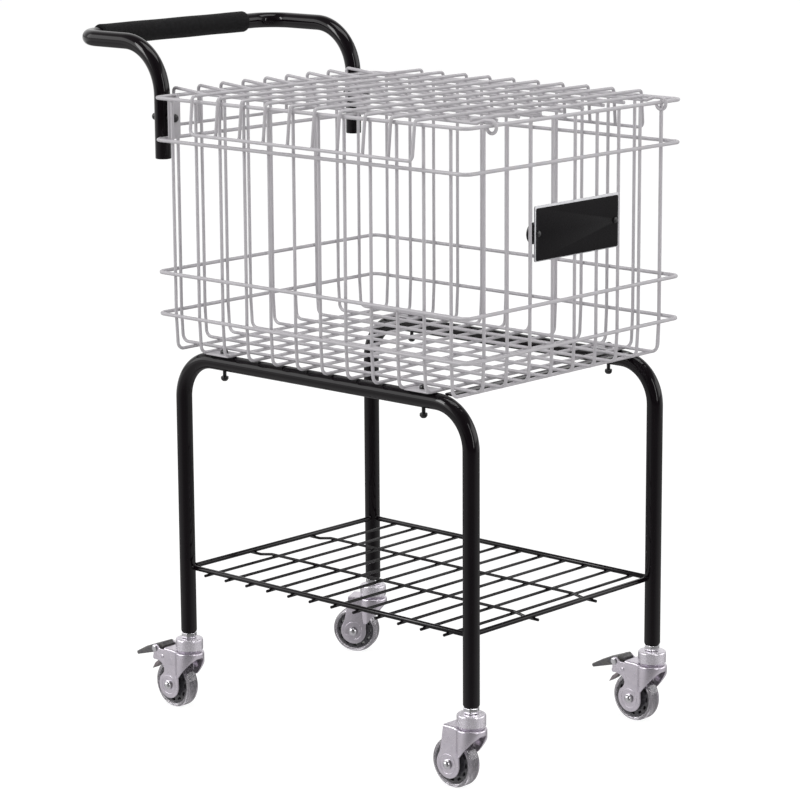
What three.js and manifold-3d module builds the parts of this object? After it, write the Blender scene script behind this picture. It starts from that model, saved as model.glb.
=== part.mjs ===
// Tennis ball cart: a wire basket with a hinged wire lid on a tube frame with four swivel casters.
// Millimetres. X is the travel direction, Z is up, the origin is on the floor under the middle.
import * as THREE from 'three';
import { mergeVertices } from 'three/addons/utils/BufferGeometryUtils.js';
import Module from 'manifold-3d';

const wasm = await Module();
wasm.setup();

// Fits and roundness
const SEAT_GAP = 0.3;
const RUNNING_GAP = 0.5;
const CUT_OVERRUN = 4;
const WELD_SINK = 0.45;
const TAB_SINK = 0.6;
const VERTEX_MERGE = 1e-4;
const WIRE_SIDES = 6;
const TUBE_SIDES = 12;
const WIRE_BEND_STEPS = 2;
const TUBE_BEND_STEPS = 5;
const SCREW_SIDES = 8;
const DISC_SIDES = 20;
const HUB_SIDES = 16;

// A six-sided wire keeps the cross-section area of the round wire it stands for.
const WIRE_FULLNESS = Math.sqrt((2 * Math.PI) / (3 * Math.sqrt(3)));

// Tube frame
const TUBE_D = 22;
const LEG_INSET_X = 17.2;
const LEG_INSET_Y = 27.8;
const HOOP_BEND_R = 57;
const STEM_BORE_DEPTH = 28;

// Wire basket
const BASKET_WIRE_D = 4.5;
const RIM_WIRE_D = 5;
const RIM_HALF_X = 278.2;
const RIM_HALF_Y = 215.8;
const RIM_CORNER_R = 11;
const FLOOR_WIRE_Z = 517.75;
const BASKET_DEPTH = 340.25;
const SECOND_RIM_SHARE = 0.83395;
const THIRD_RIM_SHARE = 0.30551;
const LOWEST_RIM_SHARE = 0.13828;
const FLOOR_BEND_R = 10;
const WALL_FOOT_INSET = 2.5;
const WALL_WIRE_RISE = 1;
const SHORT_WIRE_COUNT = 12;
const SHORT_WIRE_END_GAP = 29.6;
const LONG_WIRE_COUNT = 9;
const LONG_WIRE_END_GAP = 38;

// Bolting tabs in the basket floor and their bolts
const TAB_T = 2;
const TAB_PITCH_COUNT = 4;
const TAB_HALF_LENGTH = 15;
const BOLT_D = 5;
const BOLT_HEAD_R = 5.4;
const BOLT_HEAD_H = 6;
const CAP_NUT_R = 5.4;
const CAP_NUT_H = 7;
const CAP_NUT_BORE = 4.6;
const NUT_DROP = 7.2;

// Flat cross strip under the basket floor
const STRIP_INSET = 41.5;
const STRIP_W = 15.5;
const STRIP_T = 3;

// Lower shelf
const SHELF_RISE = 93.5;
const SHELF_ROD_D = 7;
const SHELF_WIRE_D = 4;
const SHELF_ROD_INSET_X = 4;
const SHELF_ROD_INSET_Y = 1.7;
const SHELF_WIRE_COUNT = 12;
const SHELF_WIRE_END_GAP = 37;
const SHELF_RUNNER_SHARE = 0.32206;
const SHELF_STUB = 5;
const SHELF_STEP_INSET = 33;
const SHELF_STEP_LENGTH = 22;

// Handle
const HANDLE_RISE = 69.2;
const HANDLE_REACH = 165.25;
const HANDLE_FOOT_DROP = 29.5;
const HANDLE_RISE_R = 70;
const HANDLE_CORNER_R = 38;
const GRIP_D = 30;
const GRIP_LENGTH = 281;
const GRIP_OFF_CENTRE = 9.5;
const GRIP_EDGE = 2;
const BRACKET_W = 22;
const BRACKET_T = 2;
const BRACKET_FOOT_DROP = 0.9;
const BRACKET_TOP_DROP = 2.2;
const HANDLE_BOLT_DROP = 29.5;
const HANDLE_BOLT_D = 6;
const HANDLE_BOLT_HEAD_R = 5.6;
const HANDLE_BOLT_HEAD_H = 4.5;

// Name plate
const PLATE_HALF_W = 84.75;
const PLATE_HALF_H = 35.75;
const PLATE_T = 1.5;
const PLATE_RISE = 1.1;
const PLATE_CORNER_R = 3;
const PLATE_SCREW_INSET = 7.25;
const PLATE_SCREW_D = 4;
const PLATE_SCREW_HEAD_R = 4;
const PLATE_SCREW_HEAD_H = 2.2;
const PLATE_NUT_FLANGE_R = 14;
const PLATE_NUT_FLANGE_T = 1.5;
const PLATE_NUT_R = 4;
const PLATE_NUT_H = 4;

// Lid
const LID_WIRE_D = 4.5;
const LID_CROSS_COUNT = 10;
const LID_REAR_CROSS_GAP = 84.7;
const LID_FRONT_CROSS_GAP = 75.7;
const LID_LAST_CROSS_GAP = 31.7;
const LID_RUNNER_COUNT = 9;
const LID_RUNNER_END_GAP = 45.8;
const LID_STUB_GAP = 26.2;
const LID_BEND_R = 5;
const LID_SKIRT_GAP = 0.8;
const LID_SKIRT_DROP = 45;
const LID_SKIRT_FLARE = 5;
const LID_SKIRT_CORNER_R = 8;
const LID_HUMP_START_GAP = 50;
const LID_HUMP_CLEARANCE = 1;
const LID_LIFT_ANGLE = 0.35;
const EYE_INNER_R = 5.5;
const EYE_OFFSET_X = 1.2;
const EYE_OFFSET_Z = 1.6;
const EYE_RISE_START_GAP = 23.2;
const EYE_RISE_END_GAP = 10.2;
const EYE_TURN = 255;
const EYE_STEPS = 9;

// Caster swivel
const STEM_D = 12;
const STEM_LENGTH = 23.6;
const STEM_NUT_AF = 19;
const STEM_NUT_H = 8;
const CUP_R = 18.2;
const CUP_H = 14.2;
const CUP_LIFT = 3.9;
const CUP_ROUND = 3.5;
const CUP_ROUND_SHARE = 0.3;
const RACE_R = 15;
const KINGPIN_R = 5;

// Caster fork
const WHEEL_R = 33.5;
const TRAIL = 26;
const FORK_CROWN_H = 18.7;
const FORK_PLATE_T = 2.6;
const FORK_PLATE_R = 20;
const FORK_FRONT_SHARE = 0.9;
const FORK_REAR_X = 34;
const CHEEK_OUTER_Y = 17;
const CHEEK_T = 2.5;
const CHEEK_DISC_R = 19.2;
const CHEEK_FRONT_ANGLE = 20;
const CHEEK_REAR_ANGLE = 146;
const CHEEK_DISC_STEPS = 8;
const AXLE_R = 4;
const AXLE_HEAD_R = 6.5;
const AXLE_HEAD_H = 4;

// Edges of the fork cheek in side view, as shares of the fork's height: forwards, and above the floor.
const CHEEK_FRONT_SHARES = [[-0.087, 0.548], [-0.034, 0.624], [0.047, 0.72], [0.204, 0.897]];
const CHEEK_REAR_SHARES = [[-0.464, 0.572], [-0.432, 0.735], [-0.415, 0.86]];
const EAR_SHARES = [
  [-0.464, 0.572],
  [-0.437, 0.66],
  [-0.502, 0.732],
  [-0.645, 0.754],
  [-0.7, 0.77],
  [-0.74, 0.806],
  [-0.712, 0.894],
  [-0.7, 0.975],
  [-0.655, 1.02],
  [-0.58, 1.02],
  [-0.5, 0.96],
];

// Wheel
const TYRE_T = 5.5;
const HUB_CORE_HALF_W = 8.5;
const HUB_BOSS_R = 9;
const TYRE_HALF_W = 10;
const TYRE_EDGE = 2;
const SLOT_COUNT = 12;
const SLOT_INSET = 5;
const SLOT_LENGTH = 6;
const SLOT_W = 3.4;

// Brake
const PEDAL_PIN_R = 3;
const PEDAL_PIN_HEAD_R = 5;
const PEDAL_PIN_HEAD_H = 1.6;
const PEDAL_HUB_R = 6;
const PEDAL_HALF_W = 14;
const PEDAL_REAR_REACH = 48;
const PEDAL_REAR_DROP_ANGLE = 19;
const PEDAL_FRONT_REACH = 20;
const PEDAL_FRONT_RISE_ANGLE = 34;
const PEDAL_ROOT_HALF_T = 4.6;
const PEDAL_TIP_R = 3.2;
const LEAF_HALF_W = 9;
const LEAF_PIVOT_R = 2.5;

// Places of the pedal's pin and the leaf's pivot, as shares of the fork's height.
const PEDAL_PIN_BACK_SHARE = 0.6184;
const PEDAL_PIN_HEIGHT_SHARE = 0.951;
const LEAF_PIVOT_BACK_SHARE = 0.4376;
const LEAF_PIVOT_HEIGHT_SHARE = 0.846;

// Side view of the brake leaf, as shares of the fork's height: forwards, and above the floor.
const LEAF_ARM_SHARES = [
  [-0.432, 0.822],
  [-0.525, 0.775],
  [-0.6, 0.71],
  [-0.612, 0.7],
  [-0.723, 0.617],
  [-0.826, 0.537],
  [-0.79, 0.7],
  [-0.66, 0.715],
  [-0.55, 0.8],
  [-0.45, 0.865],
];

// Domes of a screw head and a cap nut, as shares of their radius and height.
const HEAD_DOME_SHARES = [[1, 0.45], [0.72, 0.86]];
const CAP_DOME_SHARES = [[0.7, 1], [1, 0.75]];

// Signs of X and Y at the four corners, in the order in which the casters are listed.
const CORNER_SIGNS = [
  [-1, -1],
  [1, -1],
  [1, 1],
  [-1, 1],
];

// Pitch of a row of wires whose outer ones lie a given gap inside the ends.
function pitchInside(half, endGap, count) {
  return (2 * (half - endGap)) / (count - 1);
}

// Derived sizes
const TUBE_R = TUBE_D / 2;
const LEG_HALF_X = RIM_HALF_X - LEG_INSET_X;
const LEG_HALF_Y = RIM_HALF_Y - LEG_INSET_Y;
const FORK_TOP_Z = 2 * WHEEL_R + FORK_CROWN_H;
const CUP_BOTTOM_Z = FORK_TOP_Z + CUP_LIFT;
const CUP_TOP_Z = CUP_BOTTOM_Z + CUP_H;
const LEG_BOTTOM_Z = CUP_TOP_Z + STEM_NUT_H + 2 * SEAT_GAP;
const STEM_TOP_Z = LEG_BOTTOM_Z + STEM_LENGTH;
const HUB_CORE_R = WHEEL_R - TYRE_T;
const SLOT_MIDDLE_R = HUB_CORE_R - SLOT_INSET;
const PEDAL_PIN_X = PEDAL_PIN_BACK_SHARE * FORK_TOP_Z;
const PEDAL_PIN_Z = PEDAL_PIN_HEIGHT_SHARE * FORK_TOP_Z;
const LEAF_PIVOT_X = LEAF_PIVOT_BACK_SHARE * FORK_TOP_Z;
const LEAF_PIVOT_Z = LEAF_PIVOT_HEIGHT_SHARE * FORK_TOP_Z;
const RIM_TOP_Z = FLOOR_WIRE_Z + BASKET_DEPTH;
const RIM_SECOND_Z = FLOOR_WIRE_Z + BASKET_DEPTH * SECOND_RIM_SHARE;
const RIM_THIRD_Z = FLOOR_WIRE_Z + BASKET_DEPTH * THIRD_RIM_SHARE;
const RIM_LOWEST_Z = FLOOR_WIRE_Z + BASKET_DEPTH * LOWEST_RIM_SHARE;
const SHORT_WIRE_PITCH = pitchInside(RIM_HALF_X, SHORT_WIRE_END_GAP, SHORT_WIRE_COUNT);
const LONG_WIRE_PITCH = pitchInside(RIM_HALF_Y, LONG_WIRE_END_GAP, LONG_WIRE_COUNT);
const STRIP_X = LEG_HALF_X - STRIP_INSET;
const SHELF_Z = LEG_BOTTOM_Z + SHELF_RISE;
const SHELF_ROD_X = LEG_HALF_X - SHELF_ROD_INSET_X;
const SHELF_ROD_Y = LEG_HALF_Y - SHELF_ROD_INSET_Y;
const SHELF_WIRE_PITCH = pitchInside(SHELF_ROD_X, SHELF_WIRE_END_GAP, SHELF_WIRE_COUNT);
const SHELF_RUNNER_Y = SHELF_ROD_Y * SHELF_RUNNER_SHARE;
const SHELF_STEP_START = SHELF_ROD_X - SHELF_STEP_INSET;
const HANDLE_Z = RIM_TOP_Z + HANDLE_RISE;
const HANDLE_FOOT_Z = RIM_SECOND_Z - HANDLE_FOOT_DROP;
const HANDLE_BOLT_Z = RIM_TOP_Z - HANDLE_BOLT_DROP;
const BRACKET_BOTTOM_Z = RIM_SECOND_Z - BRACKET_FOOT_DROP;
const BRACKET_TOP_Z = RIM_TOP_Z - BRACKET_TOP_DROP;
const PLATE_Z = (RIM_SECOND_Z + RIM_THIRD_Z) / 2 + PLATE_RISE;
const PLATE_SCREW_Y = PLATE_HALF_W - PLATE_SCREW_INSET;
const LID_FIRST_CROSS_X = LID_REAR_CROSS_GAP - RIM_HALF_X;
const LID_CROSS_END_X = RIM_HALF_X - LID_FRONT_CROSS_GAP;
const LID_CROSS_PITCH = (LID_CROSS_END_X - LID_FIRST_CROSS_X) / (LID_CROSS_COUNT - 1);
const LID_LAST_CROSS_X = RIM_HALF_X - LID_LAST_CROSS_GAP;
const LID_RUNNER_PITCH = pitchInside(RIM_HALF_Y, LID_RUNNER_END_GAP, LID_RUNNER_COUNT);
const LID_STUB_X = RIM_HALF_X - LID_STUB_GAP;
const LID_SKIRT_Z = RIM_TOP_Z - LID_SKIRT_DROP;
const LID_HUMP_START_X = RIM_HALF_X - LID_HUMP_START_GAP;
const EYE_RISE_START_X = RIM_HALF_X - EYE_RISE_START_GAP;
const EYE_RISE_END_X = RIM_HALF_X - EYE_RISE_END_GAP;
const RIM_R = (RIM_WIRE_D / 2) * WIRE_FULLNESS;
const BASKET_WIRE_R = (BASKET_WIRE_D / 2) * WIRE_FULLNESS;
const LID_WIRE_R = (LID_WIRE_D / 2) * WIRE_FULLNESS;
const SHELF_ROD_R = (SHELF_ROD_D / 2) * WIRE_FULLNESS;
const SHELF_WIRE_R = (SHELF_WIRE_D / 2) * WIRE_FULLNESS;
const WALL_HALF_X = RIM_HALF_X - RIM_R - BASKET_WIRE_R + WELD_SINK;
const WALL_HALF_Y = RIM_HALF_Y - RIM_R - BASKET_WIRE_R + WELD_SINK;
const LONG_FLOOR_Z = FLOOR_WIRE_Z + 2 * BASKET_WIRE_R - WELD_SINK;
const TAB_BOTTOM_Z = FLOOR_WIRE_Z - BASKET_WIRE_R;
const HOOP_TOP_Z = TAB_BOTTOM_Z - SEAT_GAP - TUBE_R;
const TAB_X = SHORT_WIRE_PITCH * TAB_PITCH_COUNT;
const HANDLE_TUBE_X = RIM_HALF_X + RIM_R + SEAT_GAP + TUBE_R;
const HANDLE_GRIP_X = HANDLE_TUBE_X + HANDLE_REACH;
const LID_CROSS_Z = RIM_TOP_Z + RIM_R + SEAT_GAP + LID_WIRE_R;
const LID_RUNNER_Z = LID_CROSS_Z - 2 * LID_WIRE_R + WELD_SINK;
const EYE_R = EYE_INNER_R + LID_WIRE_D / 2;
const FRONT_X = RIM_HALF_X + EYE_OFFSET_X + EYE_R + LID_WIRE_R;
const MIDDLE_X = (FRONT_X - HANDLE_GRIP_X - GRIP_D / 2) / 2;

// A bore's flats stay clear of the round shank inside it.
const BORE_FULLNESS = 1 / Math.cos(Math.PI / SCREW_SIDES);
const BOLT_BORE_R = (BOLT_D / 2 + SEAT_GAP) * BORE_FULLNESS;
const HANDLE_BOLT_BORE_R = (HANDLE_BOLT_D / 2 + SEAT_GAP) * BORE_FULLNESS;
const PLATE_SCREW_BORE_R = (PLATE_SCREW_D / 2 + SEAT_GAP) * BORE_FULLNESS;
const STEM_BORE_R = (STEM_D / 2 + SEAT_GAP) * BORE_FULLNESS;
const KINGPIN_BORE_R = (KINGPIN_R + RUNNING_GAP) * BORE_FULLNESS;
const AXLE_BORE_R = (AXLE_R + SEAT_GAP) * BORE_FULLNESS;
const HUB_BORE_R = (AXLE_R + RUNNING_GAP) * BORE_FULLNESS;
const PEDAL_PIN_BORE_R = (PEDAL_PIN_R + RUNNING_GAP) * BORE_FULLNESS;
const LEAF_PIVOT_BORE_R = (LEAF_PIVOT_R + RUNNING_GAP) * BORE_FULLNESS;

const STEEL_LIGHT = { color: 0xc9c6c8, roughness: 0.42, metalness: 0.15 };
const GLOSS_BLACK = { color: 0x0d0d0e, roughness: 0.18, metalness: 0.1 };
const BLACK_SCREW = { color: 0x161617, roughness: 0.4, metalness: 0.5 };
const FOAM_BLACK = { color: 0x101010, roughness: 0.95, metalness: 0 };
const PLATE_BLACK = { color: 0x121213, roughness: 0.35, metalness: 0.1 };
const ZINC_SATIN = { color: 0xb9b5bf, roughness: 0.35, metalness: 0.85 };
const ZINC_BRIGHT = { color: 0xd8d6d8, roughness: 0.2, metalness: 0.95 };
const WHEEL_CORE = { color: 0x4b4b4f, roughness: 0.4, metalness: 0 };
const WHEEL_TYRE = { color: 0xa9a8a8, roughness: 0.45, metalness: 0 };
const PEDAL_GREY = { color: 0x3c3c40, roughness: 0.5, metalness: 0 };

// A path through given points, with sections that meet in mitres at each point.
class BentPath extends THREE.Curve {
  constructor(points, firstNormal) {
    super();
    this.points = points;
    this.firstNormal = firstNormal;
  }

  getPoint(share) {
    const place = share * (this.points.length - 1);
    const before = Math.min(Math.floor(place), this.points.length - 2);
    return this.points[before].clone().lerp(this.points[before + 1], place - before);
  }

  getSpacedPoints() {
    return this.points;
  }

  computeFrenetFrames() {
    const tangents = [];
    const normals = [];
    const binormals = [];
    let normal = this.firstNormal.clone();
    const last = this.points.length - 1;
    for (let i = 0; i <= last; i += 1) {
      const into = direction(this.points[Math.max(i - 1, 0)], this.points[Math.max(i, 1)]);
      const out = direction(this.points[Math.min(i, last - 1)], this.points[Math.min(i + 1, last)]);
      const mitre = into.clone().add(out).normalize();
      const binormal = into.clone().cross(normal);
      tangents.push(mitre);
      normals.push(slide(normal, into, mitre));
      binormals.push(slide(binormal, into, mitre));
      normal = flatten(normals[i], out);
    }
    return { tangents, normals, binormals };
  }
}

function direction(from, to) {
  return to.clone().sub(from).normalize();
}

// Moves a vector along a direction until it lies square to the mitre.
function slide(vector, along, mitre) {
  return vector.clone().addScaledVector(along, -vector.dot(mitre) / along.dot(mitre));
}

function flatten(vector, along) {
  return vector.clone().addScaledVector(along, -vector.dot(along)).normalize();
}

function point(x, y, z) {
  return new THREE.Vector3(x, y, z);
}

// Points along straight runs whose corners are arcs of the given radii.
function roundedLine(corners, radii, steps) {
  const points = [corners[0]];
  for (let i = 1; i < corners.length - 1; i += 1) {
    const into = direction(corners[i - 1], corners[i]);
    const out = direction(corners[i], corners[i + 1]);
    const turn = into.angleTo(out);
    const radius = radii[i - 1];
    if (radius === 0) {
      points.push(corners[i]);
      continue;
    }
    const start = corners[i].clone().addScaledVector(into, -radius * Math.tan(turn / 2));
    const inward = flatten(out, into);
    const centre = start.clone().addScaledVector(inward, radius);
    for (let k = 0; k <= steps; k += 1) {
      const angle = (turn * k) / steps;
      const spot = centre.clone().addScaledVector(inward, -radius * Math.cos(angle));
      points.push(spot.addScaledVector(into, radius * Math.sin(angle)));
    }
  }
  points.push(corners[corners.length - 1]);
  return points;
}

// A solid body from a closed geometry.
function toSolid(geometry) {
  geometry.deleteAttribute('normal');
  geometry.deleteAttribute('uv');
  const merged = mergeVertices(geometry, VERTEX_MERGE);
  const index = merged.index.array;
  const triangles = [];
  for (let i = 0; i < index.length; i += 3) {
    const [a, b, c] = [index[i], index[i + 1], index[i + 2]];
    if (a !== b && b !== c && c !== a) {
      triangles.push(a, b, c);
    }
  }
  return new wasm.Manifold(
    new wasm.Mesh({
      numProp: 3,
      vertProperties: Float32Array.from(merged.attributes.position.array),
      triVerts: Uint32Array.from(triangles),
    }),
  );
}

function join(solids) {
  return solids.reduce((whole, solid) => whole.add(solid));
}

function regularOutline(radius, sides) {
  const corners = [];
  for (let i = 0; i < sides; i += 1) {
    const angle = (2 * Math.PI * i) / sides;
    corners.push(new THREE.Vector2(radius * Math.cos(angle), radius * Math.sin(angle)));
  }
  return corners;
}

function swept(points, radius, sides, firstNormal) {
  const outline = new THREE.Shape(regularOutline(radius, sides));
  const extrudePath = new BentPath(points, firstNormal);
  return toSolid(new THREE.ExtrudeGeometry(outline, { steps: points.length - 1, extrudePath }));
}

function wire(points, radius, firstNormal) {
  return swept(points, radius, WIRE_SIDES, firstNormal);
}

// A closed wire loop, made of two halves that meet in the middle of the long sides.
function wireLoop(halfX, halfY, z, cornerR, radius) {
  const halves = [-1, 1].map((side) => {
    const corners = [
      point(0, -halfY * side, z),
      point(halfX * side, -halfY * side, z),
      point(halfX * side, halfY * side, z),
      point(0, halfY * side, z),
    ];
    const path = roundedLine(corners, [cornerR, cornerR], WIRE_BEND_STEPS);
    return wire(path, radius, point(0, -side, 0));
  });
  return halves[0].add(halves[1]);
}

function block(x0, x1, y0, y1, z0, z1) {
  const geometry = new THREE.BoxGeometry(x1 - x0, y1 - y0, z1 - z0);
  geometry.translate((x0 + x1) / 2, (y0 + y1) / 2, (z0 + z1) / 2);
  return toSolid(geometry);
}

// A body turned about Z from pairs of radius and height.
function turned(profile, sides) {
  const outline = profile.map(([radius, height]) => new THREE.Vector2(radius, height));
  const geometry = new THREE.LatheGeometry(outline, sides);
  geometry.rotateX(Math.PI / 2);
  return toSolid(geometry);
}

function cylinder(radius, z0, z1, sides) {
  return turned([[0, z0], [radius, z0], [radius, z1], [0, z1]], sides);
}

// Turns a body made along Z so that it points along the named axis.
const LIE_ALONG_X = [0, 90, 0];
const LIE_ALONG_Y = [-90, 0, 0];

// A plate seen from the side (X to the front, Z up), with its width along Y.
function sidePlate(outline, y0, y1, holes = []) {
  const shape = new THREE.Shape(outline);
  shape.holes = holes;
  const geometry = new THREE.ExtrudeGeometry(shape, { depth: y1 - y0, bevelEnabled: false });
  geometry.rotateX(Math.PI / 2);
  geometry.translate(0, y1, 0);
  return toSolid(geometry);
}

function sideHole(x, z, radius, sides) {
  const corners = regularOutline(radius, sides).map((corner) => corner.add(new THREE.Vector2(x, z)));
  return new THREE.Path(corners);
}

// Hoops

function hoopPath(y) {
  const corners = [
    point(-LEG_HALF_X, y, LEG_BOTTOM_Z),
    point(-LEG_HALF_X, y, HOOP_TOP_Z),
    point(LEG_HALF_X, y, HOOP_TOP_Z),
    point(LEG_HALF_X, y, LEG_BOTTOM_Z),
  ];
  return roundedLine(corners, [HOOP_BEND_R, HOOP_BEND_R], TUBE_BEND_STEPS);
}

function hoopSolid(y) {
  let hoop = swept(hoopPath(y), TUBE_R, TUBE_SIDES, point(1, 0, 0));
  for (const end of [-1, 1]) {
    const stemBore = cylinder(
      STEM_BORE_R,
      LEG_BOTTOM_Z - CUT_OVERRUN,
      LEG_BOTTOM_Z + STEM_BORE_DEPTH,
      SCREW_SIDES,
    );
    hoop = hoop.subtract(stemBore.translate([end * LEG_HALF_X, y, 0]));
    const boltHole = cylinder(
      BOLT_BORE_R,
      HOOP_TOP_Z - TUBE_R - CUT_OVERRUN,
      HOOP_TOP_Z + TUBE_R + CUT_OVERRUN,
      SCREW_SIDES,
    );
    hoop = hoop.subtract(boltHole.translate([end * TAB_X, y, 0]));
  }
  return hoop;
}

function crossStripSolid() {
  const top = TAB_BOTTOM_Z - SEAT_GAP;
  const bar = block(
    STRIP_X - STRIP_W / 2,
    STRIP_X + STRIP_W / 2,
    -LEG_HALF_Y,
    LEG_HALF_Y,
    top - STRIP_T,
    top,
  );
  return [-1, 1].reduce((strip, side) => {
    const tube = swept(hoopPath(side * LEG_HALF_Y), TUBE_R + SEAT_GAP, TUBE_SIDES, point(1, 0, 0));
    const beyond = block(
      STRIP_X - STRIP_W,
      STRIP_X + STRIP_W,
      side * LEG_HALF_Y - TUBE_R / 2,
      side * LEG_HALF_Y + TUBE_R / 2,
      top - STRIP_T - CUT_OVERRUN,
      top + CUT_OVERRUN,
    );
    return strip.subtract(tube).subtract(beyond);
  }, bar);
}

// Lower shelf

function shelfSolid() {
  const crossZ = SHELF_Z - SHELF_ROD_R - SHELF_WIRE_R + WELD_SINK;
  const runnerZ = crossZ + 2 * SHELF_WIRE_R - WELD_SINK;
  const up = point(0, 0, 1);
  const bars = [];
  for (const side of [-1, 1]) {
    const longRod = [
      point(-LEG_HALF_X, side * SHELF_ROD_Y, SHELF_Z),
      point(LEG_HALF_X, side * SHELF_ROD_Y, SHELF_Z),
    ];
    const shortRod = [
      point(side * SHELF_ROD_X, -LEG_HALF_Y, SHELF_Z),
      point(side * SHELF_ROD_X, LEG_HALF_Y, SHELF_Z),
    ];
    bars.push(wire(longRod, SHELF_ROD_R, up), wire(shortRod, SHELF_ROD_R, up));
  }
  const crossEnd = SHELF_ROD_Y + SHELF_ROD_R + SHELF_STUB;
  for (let i = 0; i < SHELF_WIRE_COUNT; i += 1) {
    const x = (i - (SHELF_WIRE_COUNT - 1) / 2) * SHELF_WIRE_PITCH;
    bars.push(wire([point(x, -crossEnd, crossZ), point(x, crossEnd, crossZ)], SHELF_WIRE_R, up));
  }
  const stepEnd = SHELF_STEP_START + SHELF_STEP_LENGTH;
  const runnerEnd = SHELF_ROD_X + SHELF_ROD_R + SHELF_STUB;
  for (const side of [-1, 1]) {
    const y = side * SHELF_RUNNER_Y;
    const path = [
      point(-runnerEnd, y, crossZ),
      point(-stepEnd, y, crossZ),
      point(-SHELF_STEP_START, y, runnerZ),
      point(SHELF_STEP_START, y, runnerZ),
      point(stepEnd, y, crossZ),
      point(runnerEnd, y, crossZ),
    ];
    bars.push(wire(path, SHELF_WIRE_R, up));
  }
  return legCorners().reduce((shelf, [x, y]) => {
    const leg = cylinder(
      TUBE_R + SEAT_GAP,
      SHELF_Z - SHELF_ROD_D - CUT_OVERRUN,
      SHELF_Z + SHELF_ROD_D + CUT_OVERRUN,
      TUBE_SIDES,
    );
    return largestPiece(shelf.subtract(leg.translate([x, y, 0])));
  }, join(bars));
}

function legCorners() {
  return CORNER_SIGNS.map(([endX, endY]) => [endX * LEG_HALF_X, endY * LEG_HALF_Y]);
}

// Drops the offcuts that a cut leaves beyond the neighbour.
function largestPiece(solid) {
  return solid.decompose().reduce((best, piece) => (piece.volume() > best.volume() ? piece : best));
}

// Basket

function wallPath(place, half, floorZ, alongY) {
  const top = RIM_TOP_Z + WALL_WIRE_RISE;
  const corners = [
    [-half, top],
    [-half, RIM_LOWEST_Z],
    [-half + WALL_FOOT_INSET, floorZ],
    [half - WALL_FOOT_INSET, floorZ],
    [half, RIM_LOWEST_Z],
    [half, top],
  ].map(([across, z]) => (alongY ? point(place, across, z) : point(across, place, z)));
  return roundedLine(corners, [0, FLOOR_BEND_R, FLOOR_BEND_R, 0], WIRE_BEND_STEPS);
}

function tabSolid(x, y) {
  const halfWidth = SHORT_WIRE_PITCH / 2 - (BASKET_WIRE_D / 2 - TAB_SINK);
  const plate = block(
    x - halfWidth,
    x + halfWidth,
    y - TAB_HALF_LENGTH,
    y + TAB_HALF_LENGTH,
    TAB_BOTTOM_Z,
    TAB_BOTTOM_Z + TAB_T,
  );
  const hole = cylinder(BOLT_BORE_R, TAB_BOTTOM_Z - CUT_OVERRUN, TAB_BOTTOM_Z + CUT_OVERRUN, SCREW_SIDES);
  return plate.subtract(hole.translate([x, y, 0]));
}

function cageSolid() {
  const wires = [RIM_TOP_Z, RIM_SECOND_Z, RIM_THIRD_Z, RIM_LOWEST_Z].map((z) =>
    wireLoop(RIM_HALF_X, RIM_HALF_Y, z, RIM_CORNER_R, RIM_R),
  );
  for (let i = 0; i < SHORT_WIRE_COUNT; i += 1) {
    const x = (i - (SHORT_WIRE_COUNT - 1) / 2) * SHORT_WIRE_PITCH;
    const path = wallPath(x, WALL_HALF_Y, FLOOR_WIRE_Z, true);
    wires.push(wire(path, BASKET_WIRE_R, point(0, 1, 0)));
  }
  for (let i = 0; i < LONG_WIRE_COUNT; i += 1) {
    const y = (i - (LONG_WIRE_COUNT - 1) / 2) * LONG_WIRE_PITCH;
    const path = wallPath(y, WALL_HALF_X, LONG_FLOOR_Z, false);
    wires.push(wire(path, BASKET_WIRE_R, point(1, 0, 0)));
  }
  for (const [endX, endY] of CORNER_SIGNS) {
    wires.push(tabSolid(endX * TAB_X, endY * LEG_HALF_Y));
  }
  return join(wires);
}

// Screws: the head's seat is at height zero and the shank points down.

function boltSolid(headR, headH, shankR, length) {
  const profile = [
    [0, -length],
    [shankR, -length],
    [shankR, 0],
    [headR, 0],
    ...HEAD_DOME_SHARES.map(([wide, high]) => [headR * wide, headH * high]),
    [0, headH],
  ];
  return turned(profile, SCREW_SIDES);
}

// A domed nut whose mouth is at height zero and whose bore points down.
function capNutSolid(outerR, boreR, height, boreDepth) {
  const profile = [
    [0, -height],
    ...CAP_DOME_SHARES.map(([wide, deep]) => [outerR * wide, -height * deep]),
    [outerR, 0],
    [boreR, 0],
    [boreR, -boreDepth],
    [0, -boreDepth],
  ];
  return turned(profile, SCREW_SIDES);
}

function basketNutTop() {
  return HOOP_TOP_Z - TUBE_R - NUT_DROP;
}

function basketBoltSolid() {
  const seat = TAB_BOTTOM_Z + TAB_T + SEAT_GAP;
  const length = seat - basketNutTop() + CAP_NUT_BORE - SEAT_GAP;
  return boltSolid(BOLT_HEAD_R, BOLT_HEAD_H, BOLT_D / 2, length).translate([0, 0, seat]);
}

function basketNutSolid() {
  return capNutSolid(CAP_NUT_R, BOLT_BORE_R, CAP_NUT_H, CAP_NUT_BORE).translate([0, 0, basketNutTop()]);
}

// Handle

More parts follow.
